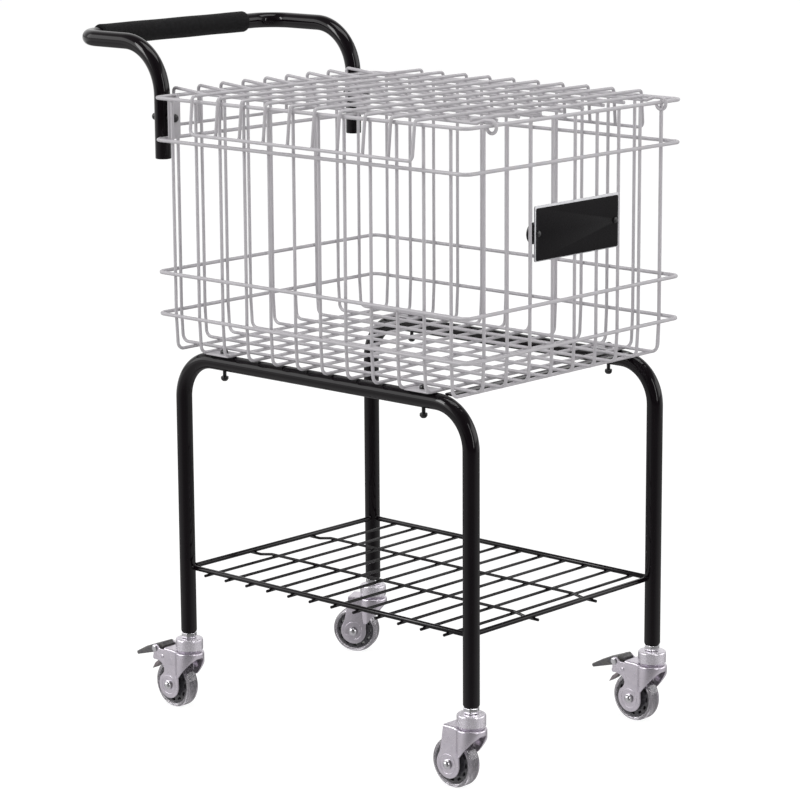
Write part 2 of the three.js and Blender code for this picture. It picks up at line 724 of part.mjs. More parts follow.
function handleSolid() {
  const corners = [
    point(-HANDLE_TUBE_X, -LEG_HALF_Y, HANDLE_FOOT_Z),
    point(-HANDLE_TUBE_X, -LEG_HALF_Y, HANDLE_Z),
    point(-HANDLE_GRIP_X, -LEG_HALF_Y, HANDLE_Z),
    point(-HANDLE_GRIP_X, LEG_HALF_Y, HANDLE_Z),
    point(-HANDLE_TUBE_X, LEG_HALF_Y, HANDLE_Z),
    point(-HANDLE_TUBE_X, LEG_HALF_Y, HANDLE_FOOT_Z),
  ];
  const radii = [HANDLE_RISE_R, HANDLE_CORNER_R, HANDLE_CORNER_R, HANDLE_RISE_R];
  const path = roundedLine(corners, radii, TUBE_BEND_STEPS);
  let tube = swept(path, TUBE_R, TUBE_SIDES, point(1, 0, 0));
  for (const side of [-1, 1]) {
    const cut = TUBE_R + CUT_OVERRUN;
    const hole = cylinder(HANDLE_BOLT_BORE_R, -cut, cut, SCREW_SIDES);
    const placed = hole.rotate(LIE_ALONG_X);
    tube = tube.subtract(placed.translate([-HANDLE_TUBE_X, side * LEG_HALF_Y, HANDLE_BOLT_Z]));
  }
  return tube;
}

function gripSolid() {
  const outerR = GRIP_D / 2;
  const innerR = TUBE_R + SEAT_GAP;
  const half = GRIP_LENGTH / 2;
  const profile = [
    [innerR, -half],
    [outerR - GRIP_EDGE, -half],
    [outerR, -half + GRIP_EDGE],
    [outerR, half - GRIP_EDGE],
    [outerR - GRIP_EDGE, half],
    [innerR, half],
    [innerR, -half],
  ];
  const sleeve = turned(profile, HUB_SIDES).rotate(LIE_ALONG_Y);
  return sleeve.translate([-HANDLE_GRIP_X, -GRIP_OFF_CENTRE, HANDLE_Z]);
}

function bracketOuterX() {
  return -(WALL_HALF_X - BASKET_WIRE_R - SEAT_GAP);
}

function bracketSolid(y) {
  const strip = block(
    bracketOuterX(),
    bracketOuterX() + BRACKET_T,
    y - BRACKET_W / 2,
    y + BRACKET_W / 2,
    BRACKET_BOTTOM_Z,
    BRACKET_TOP_Z,
  );
  const cut = BRACKET_T + CUT_OVERRUN;
  const hole = cylinder(HANDLE_BOLT_BORE_R, -cut, cut, SCREW_SIDES);
  const placed = hole.rotate(LIE_ALONG_X);
  return strip.subtract(placed.translate([bracketOuterX(), y, HANDLE_BOLT_Z]));
}

function handleNutMouthX() {
  return -HANDLE_TUBE_X - TUBE_R - SEAT_GAP;
}

function handleBoltSolid(y) {
  const seat = bracketOuterX() + BRACKET_T + SEAT_GAP;
  const length = seat - handleNutMouthX() + CAP_NUT_BORE - SEAT_GAP;
  const bolt = boltSolid(HANDLE_BOLT_HEAD_R, HANDLE_BOLT_HEAD_H, HANDLE_BOLT_D / 2, length);
  return bolt.rotate(LIE_ALONG_X).translate([seat, y, HANDLE_BOLT_Z]);
}

function handleNutSolid(y) {
  const nut = capNutSolid(HANDLE_BOLT_HEAD_R, HANDLE_BOLT_BORE_R, CAP_NUT_H, CAP_NUT_BORE);
  return nut.rotate(LIE_ALONG_X).translate([handleNutMouthX(), y, HANDLE_BOLT_Z]);
}

// Name plate

function plateBackX() {
  return WALL_HALF_X + BASKET_WIRE_R + SEAT_GAP;
}

function plateSolid() {
  const [w, h, r] = [PLATE_HALF_W, PLATE_HALF_H, PLATE_CORNER_R];
  const shape = new THREE.Shape();
  shape.moveTo(-w + r, -h);
  shape.lineTo(w - r, -h);
  shape.absarc(w - r, -h + r, r, -Math.PI / 2, 0);
  shape.absarc(w - r, h - r, r, 0, Math.PI / 2);
  shape.absarc(-w + r, h - r, r, Math.PI / 2, Math.PI);
  shape.absarc(-w + r, -h + r, r, Math.PI, Math.PI * 1.5);
  shape.holes = [-1, 1].map((side) =>
    sideHole(side * PLATE_SCREW_Y, 0, PLATE_SCREW_BORE_R, SCREW_SIDES),
  );
  const options = { depth: PLATE_T, bevelEnabled: false, curveSegments: 3 };
  const geometry = new THREE.ExtrudeGeometry(shape, options);
  geometry.rotateX(Math.PI / 2);
  geometry.rotateZ(Math.PI / 2);
  geometry.translate(plateBackX(), 0, PLATE_Z);
  return toSolid(geometry);
}

function plateClampX() {
  return WALL_HALF_X - BASKET_WIRE_R - SEAT_GAP;
}

function plateScrewSolid(y) {
  const seat = plateBackX() + PLATE_T + SEAT_GAP;
  const length = seat - plateClampX() + PLATE_NUT_FLANGE_T + PLATE_NUT_H / 2;
  const screw = boltSolid(PLATE_SCREW_HEAD_R, PLATE_SCREW_HEAD_H, PLATE_SCREW_D / 2, length);
  return screw.rotate(LIE_ALONG_X).translate([seat, y, PLATE_Z]);
}

function plateNutSolid(y) {
  const boreR = PLATE_SCREW_BORE_R;
  const depth = PLATE_NUT_FLANGE_T + PLATE_NUT_H;
  const profile = [
    [boreR, 0],
    [boreR, -depth],
    [PLATE_NUT_R, -depth],
    [PLATE_NUT_R, -PLATE_NUT_FLANGE_T],
    [PLATE_NUT_FLANGE_R, -PLATE_NUT_FLANGE_T],
    [PLATE_NUT_FLANGE_R, 0],
    [boreR, 0],
  ];
  const nut = turned(profile, TUBE_SIDES).rotate(LIE_ALONG_X);
  return nut.translate([plateClampX(), y, PLATE_Z]);
}

// Lid

function lidCrossWires() {
  const half = RIM_HALF_Y + RIM_R + LID_SKIRT_GAP + LID_WIRE_R;
  const foot = half + LID_SKIRT_FLARE;
  const wires = [];
  for (let i = 1; i < LID_CROSS_COUNT - 1; i += 1) {
    const x = LID_FIRST_CROSS_X + i * LID_CROSS_PITCH;
    const corners = [
      point(x, -foot, LID_SKIRT_Z),
      point(x, -half, LID_CROSS_Z),
      point(x, half, LID_CROSS_Z),
      point(x, foot, LID_SKIRT_Z),
    ];
    const path = roundedLine(corners, [LID_BEND_R, LID_BEND_R], WIRE_BEND_STEPS);
    wires.push(wire(path, LID_WIRE_R, point(0, 1, 0)));
  }
  const lastHalf = ((LID_RUNNER_COUNT - 1) / 2) * LID_RUNNER_PITCH + LID_WIRE_D / 2;
  const lastWire = [
    point(LID_LAST_CROSS_X, -lastHalf, LID_CROSS_Z),
    point(LID_LAST_CROSS_X, lastHalf, LID_CROSS_Z),
  ];
  wires.push(wire(lastWire, LID_WIRE_R, point(0, 0, 1)));
  const outward = 2 * LID_WIRE_R - WELD_SINK;
  return [...wires, ...lidBorder(half + outward, foot + outward)];
}

// One wire makes both end cross wires and edges both side skirts, outside the other uprights.
function lidBorder(top, foot) {
  return [-1, 1].map((side) => {
    const corners = [
      point(LID_FIRST_CROSS_X, 0, LID_CROSS_Z),
      point(LID_FIRST_CROSS_X, side * top, LID_CROSS_Z),
      point(LID_FIRST_CROSS_X, side * foot, LID_SKIRT_Z),
      point(LID_CROSS_END_X, side * foot, LID_SKIRT_Z),
      point(LID_CROSS_END_X, side * top, LID_CROSS_Z),
      point(LID_CROSS_END_X, 0, LID_CROSS_Z),
    ];
    const radii = [LID_BEND_R, LID_SKIRT_CORNER_R, LID_SKIRT_CORNER_R, LID_BEND_R];
    return wire(roundedLine(corners, radii, WIRE_BEND_STEPS), LID_WIRE_R, point(0, 0, 1));
  });
}

// A runner's rear end: up behind the rear rim, over it and down to the grid.
function lidHump(x, y) {
  const overRimZ = RIM_TOP_Z + RIM_R + LID_HUMP_CLEARANCE + LID_WIRE_R;
  return [
    point(-x, y, LID_SKIRT_Z),
    point(-x, y, overRimZ),
    point(-LID_HUMP_START_X, y, LID_RUNNER_Z),
  ];
}

// The hinge eye: over the top rim wire, round its front and up again behind it.
function eyePoints(y) {
  const centre = point(RIM_HALF_X + EYE_OFFSET_X, y, RIM_TOP_Z - EYE_OFFSET_Z);
  const turn = THREE.MathUtils.degToRad(EYE_TURN);
  const points = [point(EYE_RISE_END_X, y, centre.z + EYE_R)];
  for (let k = 0; k <= EYE_STEPS; k += 1) {
    const angle = Math.PI / 2 - (turn * k) / EYE_STEPS;
    points.push(point(centre.x + EYE_R * Math.cos(angle), y, centre.z + EYE_R * Math.sin(angle)));
  }
  return points;
}

// The outer runners end in the hinge eyes, and edge the rear skirt outside the other runners.
function lidRunnerWires() {
  const rearX = RIM_HALF_X + RIM_R + LID_SKIRT_GAP + LID_WIRE_R;
  const borderX = rearX + 2 * LID_WIRE_R - WELD_SINK;
  const last = LID_RUNNER_COUNT - 1;
  const wires = [];
  for (let i = 1; i < last; i += 1) {
    const y = (i - last / 2) * LID_RUNNER_PITCH;
    const corners = [...lidHump(rearX, y), point(LID_STUB_X, y, LID_RUNNER_Z)];
    const path = roundedLine(corners, [LID_BEND_R, 0], WIRE_BEND_STEPS);
    wires.push(wire(path, LID_WIRE_R, point(1, 0, 0)));
  }
  for (const side of [-1, 1]) {
    const y = (side * last * LID_RUNNER_PITCH) / 2;
    const corners = [
      point(-borderX, 0, LID_SKIRT_Z),
      ...lidHump(borderX, y),
      point(EYE_RISE_START_X, y, LID_RUNNER_Z),
    ];
    const path = roundedLine(corners, [LID_SKIRT_CORNER_R, LID_BEND_R, 0], WIRE_BEND_STEPS);
    wires.push(wire([...path, ...eyePoints(y)], LID_WIRE_R, point(1, 0, 0)));
  }
  return wires;
}

// Shaped as it closes, then lifted a little about the rim wire that its eyes turn on.
function lidSolid() {
  const closed = join([...lidCrossWires(), ...lidRunnerWires()]);
  const lifted = closed.translate([-RIM_HALF_X, 0, -RIM_TOP_Z]).rotate([0, LID_LIFT_ANGLE, 0]);
  return lifted.translate([RIM_HALF_X, 0, RIM_TOP_Z]);
}

// Casters: built about the stem at X and Y zero, trailing towards minus X.

function stemNutSolid() {
  const outer = STEM_NUT_AF / Math.sqrt(3);
  const bottom = CUP_TOP_Z + SEAT_GAP;
  const top = LEG_BOTTOM_Z - SEAT_GAP;
  const nut = cylinder(outer, bottom, top, WIRE_SIDES);
  const bore = cylinder(STEM_BORE_R, bottom - CUT_OVERRUN, top + CUT_OVERRUN, SCREW_SIDES);
  return nut.subtract(bore);
}

function swivelCupSolid() {
  const profile = [
    [0, FORK_TOP_Z - FORK_PLATE_T],
    [KINGPIN_R, FORK_TOP_Z - FORK_PLATE_T],
    [KINGPIN_R, CUP_BOTTOM_Z],
    [CUP_R, CUP_BOTTOM_Z],
    [CUP_R, CUP_TOP_Z - CUP_ROUND],
    [CUP_R - CUP_ROUND * CUP_ROUND_SHARE, CUP_TOP_Z - CUP_ROUND * CUP_ROUND_SHARE],
    [CUP_R - CUP_ROUND, CUP_TOP_Z],
    [STEM_D / 2, CUP_TOP_Z],
    [STEM_D / 2, STEM_TOP_Z],
    [0, STEM_TOP_Z],
  ];
  return turned(profile, TUBE_SIDES);
}

function sharePoints(shares, size) {
  return shares.map(([x, z]) => new THREE.Vector2(x * size, z * size));
}

function cheekOutline(hasBrake) {
  const outline = sharePoints(hasBrake ? EAR_SHARES : CHEEK_REAR_SHARES, FORK_TOP_Z).reverse();
  const start = THREE.MathUtils.degToRad(CHEEK_REAR_ANGLE);
  const sweep = THREE.MathUtils.degToRad(360 - CHEEK_REAR_ANGLE + CHEEK_FRONT_ANGLE);
  for (let k = 0; k <= CHEEK_DISC_STEPS; k += 1) {
    const angle = start + (sweep * k) / CHEEK_DISC_STEPS;
    const x = -TRAIL + CHEEK_DISC_R * Math.cos(angle);
    outline.push(new THREE.Vector2(x, WHEEL_R + CHEEK_DISC_R * Math.sin(angle)));
  }
  outline.push(...sharePoints(CHEEK_FRONT_SHARES, FORK_TOP_Z));
  const plateBottom = FORK_TOP_Z - FORK_PLATE_T / 2;
  outline.push(new THREE.Vector2(FORK_PLATE_R * FORK_FRONT_SHARE, plateBottom));
  outline.push(new THREE.Vector2(-FORK_REAR_X, plateBottom));
  return outline;
}

function forkSolid(hasBrake) {
  const plateZ = FORK_TOP_Z - FORK_PLATE_T;
  const disc = cylinder(FORK_PLATE_R, plateZ, FORK_TOP_Z, DISC_SIDES);
  const raceTop = CUP_BOTTOM_Z - SEAT_GAP;
  const race = cylinder(RACE_R, FORK_TOP_Z - FORK_PLATE_T / 2, raceTop, TUBE_SIDES);
  const rear = block(-FORK_REAR_X, 0, -CHEEK_OUTER_Y, CHEEK_OUTER_Y, plateZ, FORK_TOP_Z);
  let fork = join([disc, race, rear]);
  for (const side of [-1, 1]) {
    const inner = side * (CHEEK_OUTER_Y - CHEEK_T);
    const outer = side * CHEEK_OUTER_Y;
    const holes = [sideHole(-TRAIL, WHEEL_R, AXLE_BORE_R, SCREW_SIDES)];
    if (hasBrake) {
      holes.push(sideHole(-PEDAL_PIN_X, PEDAL_PIN_Z, PEDAL_PIN_BORE_R, SCREW_SIDES));
    }
    const low = Math.min(inner, outer);
    const high = Math.max(inner, outer);
    fork = fork.add(sidePlate(cheekOutline(hasBrake), low, high, holes));
  }
  if (hasBrake) {
    const half = CHEEK_OUTER_Y - CHEEK_T / 2;
    const rivet = cylinder(LEAF_PIVOT_R, -half, half, SCREW_SIDES).rotate(LIE_ALONG_Y);
    fork = fork.add(rivet.translate([-LEAF_PIVOT_X, 0, LEAF_PIVOT_Z]));
  }
  const kingpinBore = cylinder(
    KINGPIN_BORE_R,
    plateZ - CUT_OVERRUN,
    CUP_BOTTOM_Z + CUT_OVERRUN,
    SCREW_SIDES,
  );
  return fork.subtract(kingpinBore);
}

function axleSolid() {
  const half = CHEEK_OUTER_Y + SEAT_GAP;
  const profile = [
    [0, -half - AXLE_HEAD_H],
    [AXLE_HEAD_R, -half - AXLE_HEAD_H],
    [AXLE_HEAD_R, -half],
    [AXLE_R, -half],
    [AXLE_R, half],
    [AXLE_HEAD_R, half],
    [AXLE_HEAD_R, half + AXLE_HEAD_H],
    [0, half + AXLE_HEAD_H],
  ];
  return turned(profile, SCREW_SIDES).rotate(LIE_ALONG_Y).translate([-TRAIL, 0, WHEEL_R]);
}

function slotOutline(angle) {
  const corners = [
    [-SLOT_LENGTH / 2, -SLOT_W / 2],
    [SLOT_LENGTH / 2, -SLOT_W / 2],
    [SLOT_LENGTH / 2, SLOT_W / 2],
    [-SLOT_LENGTH / 2, SLOT_W / 2],
  ];
  const centre = new THREE.Vector2(SLOT_MIDDLE_R, 0).rotateAround(new THREE.Vector2(), angle);
  const turn = angle + Math.PI / 2;
  const spots = corners.map(([along, across]) =>
    new THREE.Vector2(along, across).rotateAround(new THREE.Vector2(), turn).add(centre),
  );
  return new THREE.Path(spots);
}

function hubSolid() {
  const holes = [sideHole(0, 0, HUB_BORE_R, SCREW_SIDES)];
  for (let i = 0; i < SLOT_COUNT; i += 1) {
    holes.push(slotOutline((2 * Math.PI * i) / SLOT_COUNT));
  }
  const rim = regularOutline(HUB_CORE_R, HUB_SIDES);
  const core = sidePlate(rim, -HUB_CORE_HALF_W, HUB_CORE_HALF_W, holes);
  const half = CHEEK_OUTER_Y - CHEEK_T - RUNNING_GAP;
  const bossProfile = [
    [HUB_BORE_R, -half],
    [HUB_BOSS_R, -half],
    [HUB_BOSS_R, half],
    [HUB_BORE_R, half],
    [HUB_BORE_R, -half],
  ];
  const boss = turned(bossProfile, SCREW_SIDES).rotate(LIE_ALONG_Y);
  return core.add(boss).translate([-TRAIL, 0, WHEEL_R]);
}

// The tyre's facets are tangent to its tread circle, with one flat on the floor.
function tyreSolid() {
  const fullness = 1 / Math.cos(Math.PI / DISC_SIDES);
  const innerR = (HUB_CORE_R + SEAT_GAP) * fullness;
  const outerR = WHEEL_R * fullness;
  const profile = [
    [innerR, -HUB_CORE_HALF_W],
    [outerR - TYRE_EDGE, -TYRE_HALF_W],
    [outerR, -TYRE_HALF_W + TYRE_EDGE],
    [outerR, TYRE_HALF_W - TYRE_EDGE],
    [outerR - TYRE_EDGE, TYRE_HALF_W],
    [innerR, HUB_CORE_HALF_W],
    [innerR, -HUB_CORE_HALF_W],
  ];
  const tyre = turned(profile, DISC_SIDES).rotate(LIE_ALONG_Y);
  return tyre.rotate([0, 180 / DISC_SIDES, 0]).translate([-TRAIL, 0, WHEEL_R]);
}

function wingOutline(degrees, reach) {
  const angle = THREE.MathUtils.degToRad(degrees);
  const along = new THREE.Vector2(Math.cos(angle), Math.sin(angle));
  const across = new THREE.Vector2(-along.y, along.x);
  const spot = (far, wide) => along.clone().multiplyScalar(far).addScaledVector(across, wide);
  const tip = reach - PEDAL_TIP_R;
  const bevel = PEDAL_TIP_R / Math.sqrt(2);
  return [
    spot(0, -PEDAL_ROOT_HALF_T),
    spot(tip, -PEDAL_TIP_R),
    spot(tip + bevel, -bevel),
    spot(reach, 0),
    spot(tip + bevel, bevel),
    spot(tip, PEDAL_TIP_R),
    spot(0, PEDAL_ROOT_HALF_T),
  ];
}

function pedalSolid() {
  const rear = wingOutline(180 + PEDAL_REAR_DROP_ANGLE, PEDAL_REAR_REACH);
  const front = wingOutline(PEDAL_FRONT_RISE_ANGLE, PEDAL_FRONT_REACH);
  const hub = regularOutline(PEDAL_HUB_R, TUBE_SIDES);
  const pedal = join([rear, front, hub].map((side) => sidePlate(side, -PEDAL_HALF_W, PEDAL_HALF_W)));
  const half = PEDAL_HALF_W + CUT_OVERRUN;
  const bore = cylinder(PEDAL_PIN_BORE_R, -half, half, SCREW_SIDES).rotate(LIE_ALONG_Y);
  return pedal.subtract(bore).translate([-PEDAL_PIN_X, 0, PEDAL_PIN_Z]);
}

function pedalPinSolid() {
  const half = CHEEK_OUTER_Y + SEAT_GAP;
  const profile = [
    [0, -half - PEDAL_PIN_HEAD_H],
    [PEDAL_PIN_HEAD_R, -half - PEDAL_PIN_HEAD_H],
    [PEDAL_PIN_HEAD_R, -half],
    [PEDAL_PIN_R, -half],
    [PEDAL_PIN_R, half],
    [PEDAL_PIN_HEAD_R, half],
    [PEDAL_PIN_HEAD_R, half + PEDAL_PIN_HEAD_H],
    [0, half + PEDAL_PIN_HEAD_H],
  ];
  const pin = turned(profile, SCREW_SIDES).rotate(LIE_ALONG_Y);
  return pin.translate([-PEDAL_PIN_X, 0, PEDAL_PIN_Z]);
}

function brakeLeafSolid() {
  const arm = sidePlate(sharePoints(LEAF_ARM_SHARES, FORK_TOP_Z), -LEAF_HALF_W, LEAF_HALF_W);
  const eyeR = LEAF_PIVOT_BORE_R + LEAF_PIVOT_R;
  const eye = cylinder(eyeR, -LEAF_HALF_W, LEAF_HALF_W, SCREW_SIDES).rotate(LIE_ALONG_Y);
  const half = LEAF_HALF_W + CUT_OVERRUN;
  const bore = cylinder(LEAF_PIVOT_BORE_R, -half, half, SCREW_SIDES).rotate(LIE_ALONG_Y);
  const pivot = [-LEAF_PIVOT_X, 0, LEAF_PIVOT_Z];
  return arm.add(eye.translate(pivot)).subtract(bore.translate(pivot));
}

// Assembly

function toMesh(name, solid, finish) {
  const mesh = solid.getMesh();
  const geometry = new THREE.BufferGeometry();
  const positions = new THREE.BufferAttribute(Float32Array.from(mesh.vertProperties), 3);
  geometry.setAttribute('position', positions);
  geometry.setIndex(new THREE.BufferAttribute(Uint32Array.from(mesh.triVerts), 1));
  geometry.computeVertexNormals();
  const result = new THREE.Mesh(geometry, new THREE.MeshStandardMaterial(finish));
  result.name = name;
  return result;
}

function caster(place, hasBrake) {
  const group = new THREE.Group();
  group.name = `${place}_caster`;
  group.add(
    toMesh(`${place}_stem_nut`, stemNutSolid(), ZINC_BRIGHT),
    toMesh(`${place}_swivel_cup`, swivelCupSolid(), ZINC_SATIN),
    toMesh(`${place}_fork`, forkSolid(hasBrake), ZINC_SATIN),
    toMesh(`${place}_axle`, axleSolid(), ZINC_BRIGHT),
    toMesh(`${place}_wheel_hub`, hubSolid(), WHEEL_CORE),
    toMesh(`${place}_tyre`, tyreSolid(), WHEEL_TYRE),
  );
  if (hasBrake) {
    group.add(
      toMesh(`${place}_pedal`, pedalSolid(), PEDAL_GREY),
      toMesh(`${place}_pedal_pin`, pedalPinSolid(), ZINC_BRIGHT),
      toMesh(`${place}_brake_leaf`, brakeLeafSolid(), ZINC_BRIGHT),
    );
  }
  return group;
}

const REAR_LEFT_SWIVEL_ANGLE = 26;
const CASTERS = [
  { place: 'rear_right', turn: 0, hasBrake: true },
  { place: 'front_right', turn: 0, hasBrake: false },
  { place: 'front_left', turn: 0, hasBrake: true },
  { place: 'rear_left', turn: REAR_LEFT_SWIVEL_ANGLE, hasBrake: false },
];

function casters() {
  const corners = legCorners();
  return CASTERS.map(({ place, turn, hasBrake }, i) => {
    const group = caster(place, hasBrake);
    group.position.set(corners[i][0], corners[i][1], 0);
    group.rotation.z = THREE.MathUtils.degToRad(turn);
    return group;
  });
}

function frameParts() {
  const group = new THREE.Group();
  group.name = 'frame';
  group.add(
    toMesh('right_hoop', hoopSolid(-LEG_HALF_Y), GLOSS_BLACK),
    toMesh('left_hoop', hoopSolid(LEG_HALF_Y), GLOSS_BLACK),
    toMesh('lower_shelf', shelfSolid(), GLOSS_BLACK),
    toMesh('cross_strip', crossStripSolid(), GLOSS_BLACK),
  );
  return group;
}

function basketParts() {
  const group = new THREE.Group();
  group.name = 'basket';
  group.add(toMesh('basket_cage', cageSolid(), STEEL_LIGHT));
  CASTERS.forEach(({ place }, i) => {
    const [endX, endY] = CORNER_SIGNS[i];
    const move = [endX * TAB_X, endY * LEG_HALF_Y, 0];
    group.add(
      toMesh(`${place}_basket_bolt`, basketBoltSolid().translate(move), BLACK_SCREW),
      toMesh(`${place}_basket_nut`, basketNutSolid().translate(move), BLACK_SCREW),
    );
  });
  return group;
}

function handleParts() {
  const group = new THREE.Group();
  group.name = 'handle';
  group.add(
    toMesh('handle_tube', handleSolid(), GLOSS_BLACK),
    toMesh('foam_grip', gripSolid(), FOAM_BLACK),
  );
  for (const [side, y] of [['right', -LEG_HALF_Y], ['left', LEG_HALF_Y]]) {
    group.add(
      toMesh(`${side}_handle_bracket`, bracketSolid(y), STEEL_LIGHT),
      toMesh(`${side}_handle_bolt`, handleBoltSolid(y), BLACK_SCREW),
      toMesh(`${side}_handle_nut`, handleNutSolid(y), BLACK_SCREW),
    );
  }
  return group;
}

function plateParts() {
  const group = new THREE.Group();
  group.name = 'plate';
  group.add(toMesh('name_plate', plateSolid(), PLATE_BLACK));
  for (const [side, y] of [['right', -PLATE_SCREW_Y], ['left', PLATE_SCREW_Y]]) {
    group.add(
      toMesh(`${side}_plate_screw`, plateScrewSolid(y), BLACK_SCREW),
      toMesh(`${side}_plate_nut`, plateNutSolid(y), BLACK_SCREW),
    );
  }
  return group;
}

function buildCart() {
  const cart = new THREE.Group();
  cart.name = 'tennis_ball_cart';
  cart.add(frameParts(), basketParts(), handleParts(), plateParts(), ...casters());
  cart.add(toMesh('lid', lidSolid(), STEEL_LIGHT));
  cart.position.x = -MIDDLE_X;
  return cart;
}

export default buildCart();
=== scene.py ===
"""Looks of a tennis ball cart: a wire basket with a wire lid on a tube frame with swivel casters.

Sizes are millimetres in the cart's own frame: X is the travel direction, Z is up, and X and Y are
zero midway between the legs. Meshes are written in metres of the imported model's frame.
"""

import logging
import math
from dataclasses import dataclass
from enum import Enum
from typing import Iterable, Optional, Sequence

import bmesh
import bpy
import numpy as np
from mathutils import Matrix, Vector


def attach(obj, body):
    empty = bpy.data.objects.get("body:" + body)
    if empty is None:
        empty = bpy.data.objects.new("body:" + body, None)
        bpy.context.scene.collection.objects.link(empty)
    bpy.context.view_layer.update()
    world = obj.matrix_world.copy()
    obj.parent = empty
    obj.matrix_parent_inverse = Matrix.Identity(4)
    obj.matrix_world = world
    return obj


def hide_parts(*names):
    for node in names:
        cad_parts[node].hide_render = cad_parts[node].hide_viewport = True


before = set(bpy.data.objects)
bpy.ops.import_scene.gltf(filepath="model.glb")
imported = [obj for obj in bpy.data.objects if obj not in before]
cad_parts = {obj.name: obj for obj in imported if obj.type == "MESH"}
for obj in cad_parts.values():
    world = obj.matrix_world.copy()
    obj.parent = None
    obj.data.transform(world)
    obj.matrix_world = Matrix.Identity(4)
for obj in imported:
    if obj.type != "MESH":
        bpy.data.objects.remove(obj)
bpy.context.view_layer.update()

LOG = logging.getLogger("tennis_ball_cart")
MM = 0.001
ORIGIN_SHIFT_X = 91.438
FRAME_BODY = "cart_frame"
LID_BODY = "lid"
BOTH = (-1, 1)
MERGE_DISTANCE = 2e-6

# How many sides and steps stand for each round thing.
TUBE_SIDES = 48
TUBE_BEND_STEPS = 24
WIRE_BEND_STEPS = 8
HOLE_SIDES = 20
BORE_SIDES = 24
SCREW_SIDES = 28
BEAD_SIDES = 10
BEAD_ROWS = 7

Point = tuple[float, float, float]
Spot = tuple[float, float]


class Side(Enum):
    """The two long sides of the cart, by the sign of Y."""

    RIGHT = -1
    LEFT = 1

    @property
    def label(self) -> str:
        """Returns: the name used in node names."""
        return self.name.lower()


class Corner(Enum):
    """The four legs: name, sign of X, sign of Y, swivel in degrees and whether it has a brake."""

    REAR_RIGHT = ("rear_right", -1, -1, 0.0, True)
    FRONT_RIGHT = ("front_right", 1, -1, 0.0, False)
    FRONT_LEFT = ("front_left", 1, 1, 0.0, True)
    REAR_LEFT = ("rear_left", -1, 1, 26.0, False)

    @property
    def label(self) -> str:
        """Returns: the name used in node names."""
        return self.value[0]

    def place(self, half_x: float, half_y: float) -> Spot:
        """Finds this corner for given half sizes.

        Args:
            half_x: half the length between the corners.
            half_y: half the width between the corners.

        Returns: X and Y of the corner.
        """
        return self.value[1] * half_x, self.value[2] * half_y

    @property
    def swivel(self) -> float:
        """Returns: how far the caster is swivelled, in radians."""
        return math.radians(self.value[3])

    @property
    def has_brake(self) -> bool:
        """Returns: whether the caster has a foot brake."""
        return self.value[4]


def linear(code: str) -> tuple[float, float, float, float]:
    """Turns an sRGB hex code into a linear colour.

    Args:
        code: six hex digits.

    Returns: red, green, blue and alpha.
    """
    channels = [int(code[i : i + 2], 16) / 255 for i in (0, 2, 4)]
    r, g, b = [c / 12.92 if c <= 0.04045 else ((c + 0.055) / 1.055) ** 2.4 for c in channels]
    return r, g, b, 1.0


# Materials


class NodeBoard:
    """A node tree that is filled one node at a time."""

    def __init__(self, owner: bpy.types.ID) -> None:
        """Clears the owner's node tree.

        Args:
            owner: a material or world.
        """
        owner.use_nodes = True
        self.tree = owner.node_tree
        self.tree.nodes.clear()

    def add(self, kind: str, settings: Optional[dict] = None, **inputs: object) -> bpy.types.Node:
        """Adds a node, sets its properties and sets or links its inputs.

        Args:
            kind: the node's type name.
            settings: properties of the node.
            inputs: values or output sockets, by socket name with underscores for spaces, or by
                an underscore and the socket's number.

        Returns: the new node.
        """
        node = self.tree.nodes.new(kind)
        for name, value in (settings or {}).items():
            setattr(node, name, value)
        for name, value in inputs.items():
            key = int(name[1:]) if name[1:].isdigit() else name.replace("_", " ")
            socket = node.inputs[key]
            if isinstance(value, bpy.types.NodeSocket):
                self.tree.links.new(value, socket)
            else:
                socket.default_value = value
        return node

    def pattern(self, size_mm: float, detail: float = 2.0,
                stretch: Sequence[float] = (1, 1, 1)) -> bpy.types.NodeSocket:
        """Lays out an uneven pattern of a real size on the object's own coordinates.

        Args:
            size_mm: the size of its features.
            detail: octaves of finer unevenness.
            stretch: how much denser it is along each axis.

        Returns: its value, about 0.5 on average.
        """
        place = self.add("ShaderNodeTexCoord").outputs["Object"]
        mapping = self.add("ShaderNodeMapping", Vector=place, Scale=tuple(stretch))
        scale = 1 / (size_mm * MM)
        noise = self.add(
            "ShaderNodeTexNoise", Vector=mapping.outputs[0], Scale=scale, Detail=detail
        )
        return noise.outputs["Fac"]

    def patches(self, pattern: bpy.types.NodeSocket, low: float, high: float,
                cut: float = 0.25) -> bpy.types.NodeSocket:
        """Turns an uneven pattern into patches over a range of values.

        Args:
            pattern: the pattern.
            low: result at the pattern's low end.
            high: result at the pattern's high end.
            cut: how much of each end of the pattern is cut off.

        Returns: the mapped value.
        """
        return self.add(
            "ShaderNodeMapRange", Value=pattern, From_Min=cut, From_Max=1 - cut,
            To_Min=low, To_Max=high,
        ).outputs[0]

    def surface(self, **inputs: object) -> None:
        """Ends the tree with a principled surface.

        Args:
            inputs: the surface's sockets.
        """
        shader = self.add("ShaderNodeBsdfPrincipled", **inputs)
        self.add("ShaderNodeOutputMaterial", Surface=shader.outputs[0])


